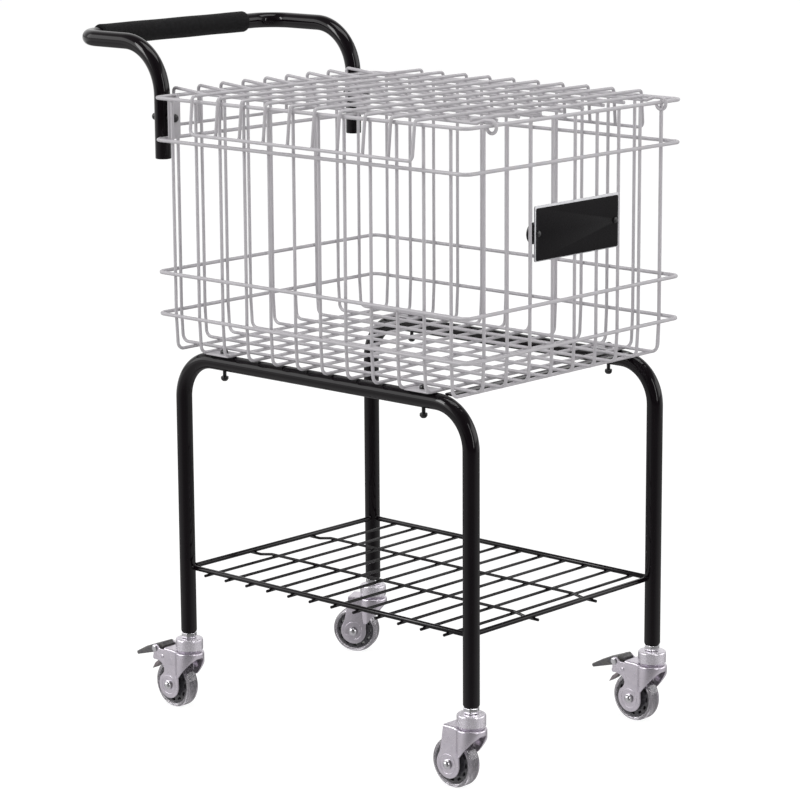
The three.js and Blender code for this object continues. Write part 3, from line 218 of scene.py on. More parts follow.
@dataclass(frozen=True)
class Finish:
    """A surface finish: its material's name, two close tones and a range of roughness."""

    name: str
    tone: str
    second_tone: str
    smooth: float
    rough: float
    cloud_mm: float = 10.0
    gloss_mm: float = 5.0

    def build(self) -> bpy.types.Material:
        """Returns: the new material."""
        material = bpy.data.materials.new(self.name)
        self.fill(NodeBoard(material))
        return material

    def fill(self, board: NodeBoard) -> None:
        """Builds the node tree.

        Args:
            board: the material's node tree.
        """
        raise NotImplementedError

    def tones(self, board: NodeBoard, patches: bpy.types.NodeSocket) -> bpy.types.NodeSocket:
        """Varies the colour between the two tones.

        Args:
            board: the node tree.
            patches: how much of the second tone there is, by place.

        Returns: the colour.
        """
        first, second = linear(self.tone), linear(self.second_tone)
        mix = board.add("ShaderNodeMix", {"data_type": "RGBA"}, Factor=patches, _6=first, _7=second)
        return mix.outputs[2]

    def gloss(self, board: NodeBoard) -> bpy.types.NodeSocket:
        """Returns: the roughness, uneven over its range."""
        return board.patches(board.pattern(self.gloss_mm, 4), self.smooth, self.rough)

    def cover(self, board: NodeBoard, relief: bpy.types.Node, **inputs: object) -> None:
        """Ends the node tree with a surface of softly clouded colour and uneven gloss.

        Args:
            board: the node tree.
            relief: the bump that the surface shows.
            inputs: the surface's other sockets.
        """
        clouds = board.patches(board.pattern(self.cloud_mm, 3), 0, 1)
        board.surface(
            Base_Color=self.tones(board, clouds), Roughness=self.gloss(board),
            Normal=relief.outputs[0], **inputs,
        )


@dataclass(frozen=True)
class PowderCoat(Finish):
    """Baked powder coat: even colour, a soft sheen and the fine dimples of orange peel."""

    peel_mm: float = 1.1
    peel_depth_mm: float = 0.012
    grit_share: float = 0.25
    grit_depth_share: float = 0.2
    cloud_mm: float = 30.0
    gloss_mm: float = 9.0
    coat: float = 0.2
    coat_roughness: float = 0.2
    shine: float = 0.5
    index: float = 1.5

    def fill(self, board: NodeBoard) -> None:
        """Builds the node tree.

        Args:
            board: the material's node tree.
        """
        depth = self.peel_depth_mm * MM
        peel = board.add(
            "ShaderNodeBump", Height=board.pattern(self.peel_mm, 2), Distance=depth, Strength=0.5
        )
        grit = board.add(
            "ShaderNodeBump", Height=board.pattern(self.peel_mm * self.grit_share, 1),
            Distance=depth * self.grit_depth_share, Strength=0.3, Normal=peel.outputs[0],
        )
        self.cover(
            board, grit, Coat_Weight=self.coat, Coat_Roughness=self.coat_roughness,
            Specular_IOR_Level=self.shine, IOR=self.index,
        )


@dataclass(frozen=True)
class PlatedSteel(Finish):
    """Zinc or nickel on steel: a metal shine broken by fine pressing marks and a clouded film."""

    grain_mm: float = 0.8
    grain_depth_mm: float = 0.004
    grain_stretch: Point = (1, 1, 0.2)
    dent_mm: float = 9.0
    cloud_mm: float = 7.0
    gloss_mm: float = 3.0
    bare: float = 1.0

    def fill(self, board: NodeBoard) -> None:
        """Builds the node tree.

        Args:
            board: the material's node tree.
        """
        depth = self.grain_depth_mm * MM
        dents = board.add(
            "ShaderNodeBump", Height=board.pattern(self.dent_mm, 2), Distance=depth * 2,
            Strength=0.1,
        )
        grain = board.add(
            "ShaderNodeBump", Height=board.pattern(self.grain_mm, 4, self.grain_stretch),
            Distance=depth, Strength=0.25, Normal=dents.outputs[0],
        )
        self.cover(board, grain, Metallic=self.bare)


@dataclass(frozen=True)
class CellFoam(Finish):
    """Closed-cell rubber foam: dull black with a skin of tiny open cells and a trace of dust."""

    cell_mm: float = 0.9
    cell_depth_mm: float = 0.25
    lump_mm: float = 7.0
    lump_depth_mm: float = 0.35
    cloud_mm: float = 5.0
    gloss_mm: float = 4.0

    def fill(self, board: NodeBoard) -> None:
        """Builds the node tree.

        Args:
            board: the material's node tree.
        """
        place = board.add("ShaderNodeTexCoord").outputs["Object"]
        cells = board.add("ShaderNodeTexVoronoi", Vector=place, Scale=1 / (self.cell_mm * MM))
        lumps = board.add(
            "ShaderNodeBump", Height=board.pattern(self.lump_mm, 2),
            Distance=self.lump_depth_mm * MM, Strength=0.4,
        )
        skin = board.add(
            "ShaderNodeBump", Height=cells.outputs["Distance"], Distance=self.cell_depth_mm * MM,
            Strength=0.6, Normal=lumps.outputs[0],
        )
        self.cover(
            board, skin, Sheen_Weight=0.03, Sheen_Roughness=0.6, Specular_IOR_Level=0.2, IOR=1.45
        )


@dataclass(frozen=True)
class ClearPolymer(Finish):
    """Translucent urethane or polycarbonate: smoky, glossy, with light passing through it."""

    clear: float = 0.5
    haze: float = 0.15
    index: float = 1.5
    coat: float = 0.2
    flow_mm: float = 4.0
    flow_depth_mm: float = 0.008

    def fill(self, board: NodeBoard) -> None:
        """Builds the node tree.

        Args:
            board: the material's node tree.
        """
        flow = board.add(
            "ShaderNodeBump", Height=board.pattern(self.flow_mm, 2),
            Distance=self.flow_depth_mm * MM, Strength=0.3,
        )
        self.cover(
            board, flow, Transmission_Weight=self.clear, IOR=self.index, Coat_Weight=self.coat,
            Coat_Roughness=self.haze,
        )


@dataclass(frozen=True)
class MouldedPlastic(Finish):
    """Moulded nylon: dull grey with a fine spark-eroded texture and scuffs from shoes."""

    grain_mm: float = 0.35
    grain_depth_mm: float = 0.03
    scuff_mm: float = 2.5
    scuff_stretch: Point = (0.3, 1, 1)
    scuff_cut: float = 0.4
    gloss_mm: float = 2.0

    def fill(self, board: NodeBoard) -> None:
        """Builds the node tree.

        Args:
            board: the material's node tree.
        """
        grain = board.add(
            "ShaderNodeBump", Height=board.pattern(self.grain_mm, 2),
            Distance=self.grain_depth_mm * MM, Strength=0.5,
        )
        marks = board.pattern(self.scuff_mm, 5, self.scuff_stretch)
        scuffs = board.patches(marks, 0, 1, self.scuff_cut)
        board.surface(
            Base_Color=self.tones(board, scuffs), Roughness=self.gloss(board),
            Normal=grain.outputs[0], IOR=1.5,
        )


class Finishes:
    """All the finishes of the cart, built once."""

    def __init__(self) -> None:
        """Builds the materials."""
        # Pale warm grey on the wires: satin, with soft lines of light along each wire.
        self.light_coat = PowderCoat(
            "light_grey_powder_coat", "BFBCC0", "B8B5B9", smooth=0.34, rough=0.46
        ).build()
        # Gloss black on the tubes: a thin bright edge at each side and a dark, clear middle.
        self.black_coat = PowderCoat(
            "gloss_black_powder_coat", "0D080C", "100B0F", smooth=0.05, rough=0.09, peel_mm=1.8,
            peel_depth_mm=0.004, coat=0.0, coat_roughness=0.08, shine=0.3, index=1.45,
        ).build()
        # Blackened screws: dark and slightly grainy, with a small soft highlight on each head.
        self.black_oxide = PowderCoat(
            "black_oxide_screws", "141315", "1C1B1D", smooth=0.24, rough=0.36, peel_mm=0.5,
            peel_depth_mm=0.01, coat=0.0,
        ).build()
        # Foam grip: the darkest and dullest piece, with hardly a highlight.
        self.foam = CellFoam(
            "black_foam_rubber", "0D0C0D", "161517", smooth=0.78, rough=0.95
        ).build()
        # Pressed forks: a pale grey metal with broad, soft reflections.
        self.zinc = PlatedSteel(
            "satin_zinc_plate", "DDD6DF", "D3CDD7", smooth=0.26, rough=0.32,
            grain_depth_mm=0.003, bare=0.85,
        ).build()
        # Swivel cups: paler and less metallic than the forks, a painted reflection of bright
        # surroundings over the zinc.
        self.cup = PlatedSteel(
            "zinc_plate_painted_reflection", "E8E3EA", "DED9E2", smooth=0.24, rough=0.3,
            grain_depth_mm=0.003, bare=0.6,
        ).build()
        # Brake leaves: darker, browner steel than the zinc round it.
        self.spring = PlatedSteel(
            "tempered_spring_steel", "A0979A", "857D80", smooth=0.26, rough=0.4,
            grain_depth_mm=0.005, bare=0.85,
        ).build()
        # Nuts, axles and pins: the brightest metal, with sharp highlights.
        self.bright = PlatedSteel(
            "bright_nickel_plate", "DEDCDF", "CBC9CE", smooth=0.1, rough=0.2, grain_mm=0.5,
            grain_depth_mm=0.002,
        ).build()
        # Wheel cores: smoky and half clear, so that the slots look dark.
        self.core = ClearPolymer(
            "smoky_polycarbonate", "4A484D", "5A585D", smooth=0.12, rough=0.24, clear=0.35,
            haze=0.1, index=1.58,
        ).build()
        # Tyres: nearly clear, with a bright rim where the light runs round them.
        self.tyre = ClearPolymer(
            "clear_grey_urethane", "DFDAE1", "E7E3E9", smooth=0.03, rough=0.07, clear=0.92,
            haze=0.05,
        ).build()
        # Pedals: flat mid grey with paler scuffs.
        self.pedal = MouldedPlastic(
            "grey_nylon", "57565A", "6B6966", smooth=0.36, rough=0.55
        ).build()
        # Plate: a deep, almost even black face with a bare, brushed edge.
        self.plate_face = PowderCoat(
            "black_plate_face", "0C0A0C", "100E11", smooth=0.24, rough=0.32, peel_mm=0.7,
            peel_depth_mm=0.004, coat=0.0, coat_roughness=0.15, shine=0.08,
        ).build()
        self.plate_edge = PlatedSteel(
            "bare_aluminium_edge", "C9C9CC", "BABABD", smooth=0.3, rough=0.45
        ).build()


# Shapes


def unit(vector: np.ndarray) -> np.ndarray:
    """Scales a vector to length one.

    Args:
        vector: any vector but zero.

    Returns: the unit vector.
    """
    return vector / np.linalg.norm(vector)


def rounded_line(corners: Sequence[Point], radii: Sequence[float], steps: int) -> np.ndarray:
    """Makes a path of straight runs joined by arcs.

    Args:
        corners: the ends and corners of the path.
        radii: one bend radius for each inner corner.
        steps: arc steps for each bend.

    Returns: the path's points.
    """
    straight = 1e-4
    spots = [np.array(c, float) for c in corners]
    path = [spots[0]]
    for before, corner, after, radius in zip(spots, spots[1:], spots[2:], radii):
        into, out = unit(corner - before), unit(after - corner)
        turn = math.acos(max(-1.0, min(1.0, float(into @ out))))
        if radius == 0 or turn < straight:
            path.append(corner)
            continue
        inward = unit(out - into * (into @ out))
        start = corner - into * radius * math.tan(turn / 2)
        centre = start + inward * radius
        for k in range(steps + 1):
            sine, cosine = math.sin(turn * k / steps), math.cos(turn * k / steps)
            path.append(centre - inward * radius * cosine + into * radius * sine)
    path.append(spots[-1])
    return np.array(path)


def smooth_outline(corners: Sequence[Spot], radius: float, steps: int = 5) -> list[Spot]:
    """Rounds every corner of a closed outline.

    Args:
        corners: the outline's corners.
        radius: the largest corner radius; short edges get less.
        steps: arc steps for each corner.

    Returns: the points of the rounded outline.
    """
    edge_share = 0.45
    spots = [np.array(c, float) for c in corners]
    outline = []
    for i, corner in enumerate(spots):
        before, after = spots[i - 1], spots[(i + 1) % len(spots)]
        to_before, to_after = before - corner, after - corner
        shorter = min(np.linalg.norm(to_before), np.linalg.norm(to_after))
        reach = min(radius, edge_share * shorter)
        start, end = corner + unit(to_before) * reach, corner + unit(to_after) * reach
        for k in range(steps + 1):
            t = k / steps
            outline.append(tuple((1 - t) ** 2 * start + 2 * t * (1 - t) * corner + t * t * end))
    return outline


def circle(radius: float, sides: int, centre: Spot = (0, 0)) -> list[Spot]:
    """Makes the outline of a circle.

    Args:
        radius: its radius.
        sides: how many points.
        centre: its middle.

    Returns: the points.
    """
    angles = [2 * math.pi * k / sides for k in range(sides)]
    return [(centre[0] + radius * math.cos(a), centre[1] + radius * math.sin(a)) for a in angles]


def box_outline(half_x: float, half_y: float, radius: float) -> list[Spot]:
    """Makes the outline of a rectangle about zero, with rounded corners.

    Args:
        half_x: half its first size.
        half_y: half its second size.
        radius: its corner radius.

    Returns: the points.
    """
    corners = [(-half_x, -half_y), (half_x, -half_y), (half_x, half_y), (-half_x, half_y)]
    return smooth_outline(corners, radius)


def spaced(count: int, pitch: float, middle: float = 0.0) -> list[float]:
    """Spaces places evenly about a middle.

    Args:
        count: how many places.
        pitch: the distance between two.
        middle: the middle of them all.

    Returns: the places.
    """
    return [middle + (i - (count - 1) / 2) * pitch for i in range(count)]


def both_ends(half: Sequence[Spot]) -> list[Spot]:
    """Completes a turned profile that is the same at both ends.

    Args:
        half: pairs of radius and height, from one end to the middle.

    Returns: the whole profile.
    """
    return [*half, *((radius, -height) for radius, height in reversed(half))]


def dome_bolt(head_r: float, head_h: float, shank_r: float, length: float) -> list[Spot]:
    """Makes the profile of a bolt with a domed head.

    Args:
        head_r: the head's radius.
        head_h: the head's height.
        shank_r: the shank's radius.
        length: the shank's length below the head.

    Returns: pairs of radius and height; the head's seat is at height zero.
    """
    chamfer, rim_h, rim_share, steps = 0.6, 0.5, 0.25, 8
    tip_share, seat_share = 0.8, 0.96
    profile = [(0, -length), (shank_r * tip_share, -length), (shank_r, -length + chamfer)]
    profile += [(shank_r, 0), (head_r * seat_share, 0), (head_r, rim_h)]
    for k in range(steps):
        angle = math.pi / 2 * k / steps
        rise = rim_share + (1 - rim_share) * math.sin(angle)
        profile.append((head_r * math.cos(angle), head_h * rise))
    return [*profile, (0, head_h)]


SIDE_VIEW = Matrix.Rotation(math.pi / 2, 4, "X")
ALONG_Y = Matrix.Rotation(-math.pi / 2, 4, "X")
ALONG_X = Matrix.Rotation(math.pi / 2, 4, "Y")


def moved(x: float, y: float, z: float, turn: Optional[Matrix] = None) -> Matrix:
    """Makes a placement.

    Args:
        x: place along X.
        y: place along Y.
        z: place along Z.
        turn: a rotation done first.

    Returns: the placement's matrix.
    """
    place = Matrix.Translation((x, y, z))
    return place @ turn if turn is not None else place


class Draft:
    """The surfaces of one piece, in millimetres of the cart's frame."""

    def __init__(self, base: Optional[Matrix] = None) -> None:
        """Starts an empty piece.

        Args:
            base: a placement for everything that is added.
        """
        self.base = base or Matrix.Identity(4)
        self.points: list[np.ndarray] = []
        self.faces: list[tuple[int, ...]] = []
        self.paints: list[int] = []
        self.count = 0

    def add(self, points: Iterable, faces: Iterable, paint: int = 0,
            place: Optional[Matrix] = None) -> None:
        """Adds a surface.

        Args:
            points: its points.
            faces: its faces, as point numbers.
            paint: which of the piece's materials it has.
            place: a placement for this surface.
        """
        matrix = np.array(self.base @ (place or Matrix.Identity(4)))
        block = np.array(points, float) @ matrix[:3, :3].T + matrix[:3, 3]
        for face in faces:
            self.faces.append(tuple(int(i) + self.count for i in face))
            self.paints.append(paint)
        self.points.append(block)
        self.count += len(block)

    def sweep(self, path: Iterable, radius: float, sides: int, closed: bool = False,
              edge: float = 0.4) -> None:
        """Adds a round bar along a path.

        Args:
            path: the points of its centreline.
            radius: the bar's radius.
            sides: how many sides stand for the circle.
            closed: whether the path ends where it began.
            edge: the rounding of its cut ends.
        """
        shoulder = 0.3
        off_axis = (0.31, 0.52, 0.79)
        path = np.array(path, float)
        scales = np.ones(len(path))
        if not closed:
            first, last = unit(path[1] - path[0]), unit(path[-1] - path[-2])
            lead = [path[0], path[0] + first * edge * shoulder, path[0] + first * edge]
            tail = [path[-1] - last * edge, path[-1] - last * edge * shoulder, path[-1]]
            path = np.vstack([lead, path[1:-1], tail])
            ends = [1 - edge / radius, 1 - shoulder * edge / radius, 1.0]
            scales = np.array(ends + [1.0] * (len(path) - 6) + ends[::-1])
        angles = np.linspace(0, 2 * math.pi, sides, endpoint=False)
        count = len(path)
        into = unit(path[0] - path[-1]) if closed else unit(path[1] - path[0])
        normal = unit(np.cross(into, off_axis))
        rings = []
        for i in range(count):
            after = path[(i + 1) % count] if closed or i < count - 1 else path[i] + into
            out = unit(after - path[i])
            mitre = unit(into + out)
            binormal = np.cross(into, normal)
            across = normal - into * (normal @ mitre) / (into @ mitre)
            upright = binormal - into * (binormal @ mitre) / (into @ mitre)
            ring = np.outer(np.cos(angles), across) + np.outer(np.sin(angles), upright)
            rings.append(path[i] + scales[i] * radius * ring)
            normal = unit(across - out * (across @ out))
            into = out
        faces = []
        for i in range(count if closed else count - 1):
            a, b = i * sides, ((i + 1) % count) * sides
            for k in range(sides):
                beside = (k + 1) % sides
                faces.append((a + k, a + beside, b + beside, b + k))
        if not closed:
            faces.append(tuple(range(sides - 1, -1, -1)))
            faces.append(tuple((count - 1) * sides + k for k in range(sides)))
        self.add(np.vstack(rings), faces)

    def turn(self, profile: Sequence[Spot], sides: int, place: Matrix,
             ring: bool = False) -> None:
        """Adds a body turned about its own Z.

        Args:
            profile: pairs of radius and height, from the bottom up on the outside.
            sides: how many sides stand for the circle.
            place: where it goes.
            ring: whether the profile closes on itself instead of on the axis.
        """
        points, faces, rows = [], [], []
        for radius, height in profile:
            if radius == 0:
                rows.append([len(points)] * sides)
                points.append((0.0, 0.0, height))
                continue
            rows.append(list(range(len(points), len(points) + sides)))
            points += [(x, y, height) for x, y in circle(radius, sides)]
        pairs = list(zip(rows, rows[1:])) + ([(rows[-1], rows[0])] if ring else [])
        for low, high in pairs:
            for k in range(sides):
                face = [low[k], low[(k + 1) % sides], high[(k + 1) % sides], high[k]]
                unique = list(dict.fromkeys(face))
                if len(unique) > 2:
                    faces.append(tuple(unique))
        self.add(points, faces, place=place)

    def plate(self, outline: Sequence, thickness: float, bevel: float, place: Matrix,
              holes: Sequence = (), paint: int = 0) -> None:
        """Adds a flat plate with rounded edges.

        Args:
            outline: the points of its edge.
            thickness: its thickness, along its own Z and about Z zero.
            bevel: the rounding of its edges.
            place: where it goes.
            holes: outlines of the holes.
            paint: which of the piece's materials it has.
        """
        curve = bpy.data.curves.new("outline", "CURVE")
        curve.dimensions = "2D"
        curve.fill_mode = "BOTH"
        curve.extrude = thickness / 2 - bevel
        curve.bevel_depth = bevel
        curve.bevel_resolution = 2
        curve.offset = -bevel
        for loop in [outline, *holes]:
            spline = curve.splines.new("POLY")
            spline.points.add(len(loop) - 1)
            for spot, (x, y) in zip(spline.points, loop):
                spot.co = (x, y, 0, 1)
            spline.use_cyclic_u = True
        shape = bpy.data.objects.new("outline", curve)
        bpy.context.scene.collection.objects.link(shape)
        graph = bpy.context.evaluated_depsgraph_get()
        mesh = bpy.data.meshes.new_from_object(shape.evaluated_get(graph))
        points = [tuple(v.co) for v in mesh.vertices]
        faces = [tuple(p.vertices) for p in mesh.polygons]
        bpy.data.objects.remove(shape)
        bpy.data.curves.remove(curve)
        bpy.data.meshes.remove(mesh)
        self.add(points, faces, paint, place)

    def bead(self, centre: Point, radii: Point) -> None:
        """Adds a weld bead, as a flattened ball.

        Args:
            centre: its middle.
            radii: its half sizes.
        """
        angles = np.linspace(-math.pi / 2, math.pi / 2, BEAD_ROWS)[1:-1]
        rows = [(0, -1), *((math.cos(a), math.sin(a)) for a in angles), (0, 1)]
        self.turn(rows, BEAD_SIDES, moved(*centre) @ Matrix.Diagonal((*radii, 1)))

    def build(self, name: str, materials: Sequence[bpy.types.Material], body: str,
              replaces: Sequence[str], slot: str, crease: float = 38.0) -> bpy.types.Object:
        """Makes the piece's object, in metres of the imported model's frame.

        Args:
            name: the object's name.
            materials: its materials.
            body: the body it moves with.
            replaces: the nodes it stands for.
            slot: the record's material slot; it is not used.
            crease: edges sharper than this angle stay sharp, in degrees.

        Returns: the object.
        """
        points = (np.vstack(self.points) + np.array([ORIGIN_SHIFT_X, 0, 0])) * MM
        mesh = bpy.data.meshes.new(name)
        mesh.from_pydata(points.tolist(), [], self.faces)
        for material in materials:
            mesh.materials.append(material)
        mesh.polygons.foreach_set("material_index", self.paints)
        weld(mesh)
        mesh.shade_smooth()
        mesh.set_sharp_from_angle(angle=math.radians(crease))
        piece = bpy.data.objects.new(name, mesh)
        bpy.context.scene.collection.objects.link(piece)
        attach(piece, body)
        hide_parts(*replaces)
        LOG.info("%s: %d faces", name, len(mesh.polygons))
        return piece


def weld(mesh: bpy.types.Mesh) -> None:
    """Merges points that lie on each other and turns all faces outwards.

    Args:
        mesh: the mesh that is changed.
    """
    work = bmesh.new()
    work.from_mesh(mesh)
    bmesh.ops.remove_doubles(work, verts=work.verts, dist=MERGE_DISTANCE)
    bmesh.ops.recalc_face_normals(work, faces=work.faces)
    work.to_mesh(mesh)
    work.free()


def build_screw(finishes: Finishes, node: str, part: str, profile: Sequence[Spot], place: Matrix,
                sides: int = SCREW_SIDES, ring: bool = False) -> None:
    """Builds a turned black screw or nut.

    Args:
        finishes: the cart's finishes.
        node: the node that it stands for.
        part: what its own name adds to the node's.
        profile: pairs of radius and height.
        place: where it goes.
        sides: how many sides stand for the circle.
        ring: whether the profile closes on itself instead of on the axis.
    """
    draft = Draft()
    draft.turn(profile, sides, place, ring)
    draft.build(f"{node}_{part}", [finishes.black_oxide], FRAME_BODY, [node], "black_screw")


@dataclass(frozen=True)
class TubeFrame:
    """Two tube hoops, the welded lower shelf and the cross strip."""

    tube_r: float = 11.0
    half_x: float = 261.0
    half_y: float = 188.0
    foot_z: float = 112.4
    top_z: float = 503.98
    bend_r: float = 57.0
    end_edge: float = 2.6
    strip_x: float = 219.5
    strip_w: float = 15.5
    strip_t: float = 3.0
    strip_top_z: float = 514.97
    shelf_z: float = 205.9
    rod_r: float = 3.5
    rod_x: float = 257.0
    rod_y: float = 186.3
    shelf_wire_r: float = 2.0
    shelf_wires: int = 12
    shelf_pitch: float = 40.0
    runner_y: float = 60.0
    stub: float = 5.0
    step_start: float = 224.0
    step_end: float = 246.0
    step_bend_r: float = 15.0
    step_bend_steps: int = 4
    rod_lap: float = 0.8
    wire_lap: float = 0.3
    rod_sides: int = 20
    wire_sides: int = 14
    rod_bead: Point = (2.6, 2.6, 1.3)
    runner_bead: Point = (2.2, 2.2, 1.2)
    leg_bead_t: float = 1.8
    leg_bead_r: float = 4.6
    strip_end_gap: float = 0.6
    strip_corner_r: float = 1.0
    strip_bevel: float = 0.5

    def build(self, finishes: Finishes) -> None:
        """Builds all the pieces.

        Args:
            finishes: the cart's finishes.
        """
        for side in Side:
            self.build_hoop(finishes, side)
        self.build_shelf(finishes)
        self.build_strip(finishes)

    def build_hoop(self, finishes: Finishes, side: Side) -> None:
        """Builds one inverted-U tube.

        Args:
            finishes: the cart's finishes.
            side: which side it stands on.
        """
        y = side.value * self.half_y
        corners = [
            (-self.half_x, y, self.foot_z), (-self.half_x, y, self.top_z),
            (self.half_x, y, self.top_z), (self.half_x, y, self.foot_z),
        ]
        path = rounded_line(corners, [self.bend_r] * 2, TUBE_BEND_STEPS)
        draft = Draft()
        draft.sweep(path, self.tube_r, TUBE_SIDES, edge=self.end_edge)
        name = f"{side.label}_hoop"
        draft.build(f"{name}_tube", [finishes.black_coat], FRAME_BODY, [name], "gloss_black")

    def build_shelf(self, finishes: Finishes) -> None:
        """Builds the shelf of rods and wires, with its weld beads.

        Args:
            finishes: the cart's finishes.
        """
        draft = Draft()
        gap = self.tube_r - self.rod_lap
        end_x, end_y, z = self.half_x - gap, self.half_y - gap, self.shelf_z
        cross_z = z - self.rod_r - self.shelf_wire_r + self.wire_lap
        runner_z = cross_z + 2 * self.shelf_wire_r - self.wire_lap
        for sign in BOTH:
            x, y = sign * self.rod_x, sign * self.rod_y
            draft.sweep([(-end_x, y, z), (end_x, y, z)], self.rod_r, self.rod_sides)
            draft.sweep([(x, -end_y, z), (x, end_y, z)], self.rod_r, self.rod_sides)
        end = self.rod_y + self.rod_r + self.stub
        for x in spaced(self.shelf_wires, self.shelf_pitch):
            wire = [(x, -end, cross_z), (x, end, cross_z)]
            draft.sweep(wire, self.shelf_wire_r, self.wire_sides)
            for sign in BOTH:
                draft.bead((x, sign * self.rod_y, z - self.rod_r), self.rod_bead)
                crossing = (x, sign * self.runner_y, (cross_z + runner_z) / 2)
                draft.bead(crossing, self.runner_bead)
        far = self.rod_x + self.rod_r + self.stub
        for sign in BOTH:
            y = sign * self.runner_y
            corners = [
                (-far, y, cross_z), (-self.step_end, y, cross_z), (-self.step_start, y, runner_z),
                (self.step_start, y, runner_z), (self.step_end, y, cross_z), (far, y, cross_z),
            ]
            path = rounded_line(corners, [self.step_bend_r] * 4, self.step_bend_steps)
            draft.sweep(path, self.shelf_wire_r, self.wire_sides)
            for end_sign in BOTH:
                draft.bead((end_sign * self.rod_x, y, z - self.rod_r), self.rod_bead)
        flat, round_r = self.leg_bead_t, self.leg_bead_r
        for corner in Corner:
            x, y = corner.place(1, 1)
            leg_x, leg_y = corner.place(self.half_x, self.half_y)
            draft.bead((leg_x - x * self.tube_r, y * self.rod_y, z), (flat, round_r, round_r))
            draft.bead((x * self.rod_x, leg_y - y * self.tube_r, z), (round_r, flat, round_r))
        materials = [finishes.black_coat]
        draft.build("lower_shelf_grid", materials, FRAME_BODY, ["lower_shelf"], "gloss_black")

    def build_strip(self, finishes: Finishes) -> None:
        """Builds the flat bar across the hoops.

        Args:
            finishes: the cart's finishes.
        """
        draft = Draft()
        half_l = self.half_y - self.tube_r / 2 - self.strip_end_gap
        outline = box_outline(self.strip_w / 2, half_l, self.strip_corner_r)
        place = moved(self.strip_x, 0, self.strip_top_z - self.strip_t / 2)
        draft.plate(outline, self.strip_t, self.strip_bevel, place)
        materials = [finishes.black_coat]
        draft.build("cross_strip_bar", materials, FRAME_BODY, ["cross_strip"], "gloss_black")


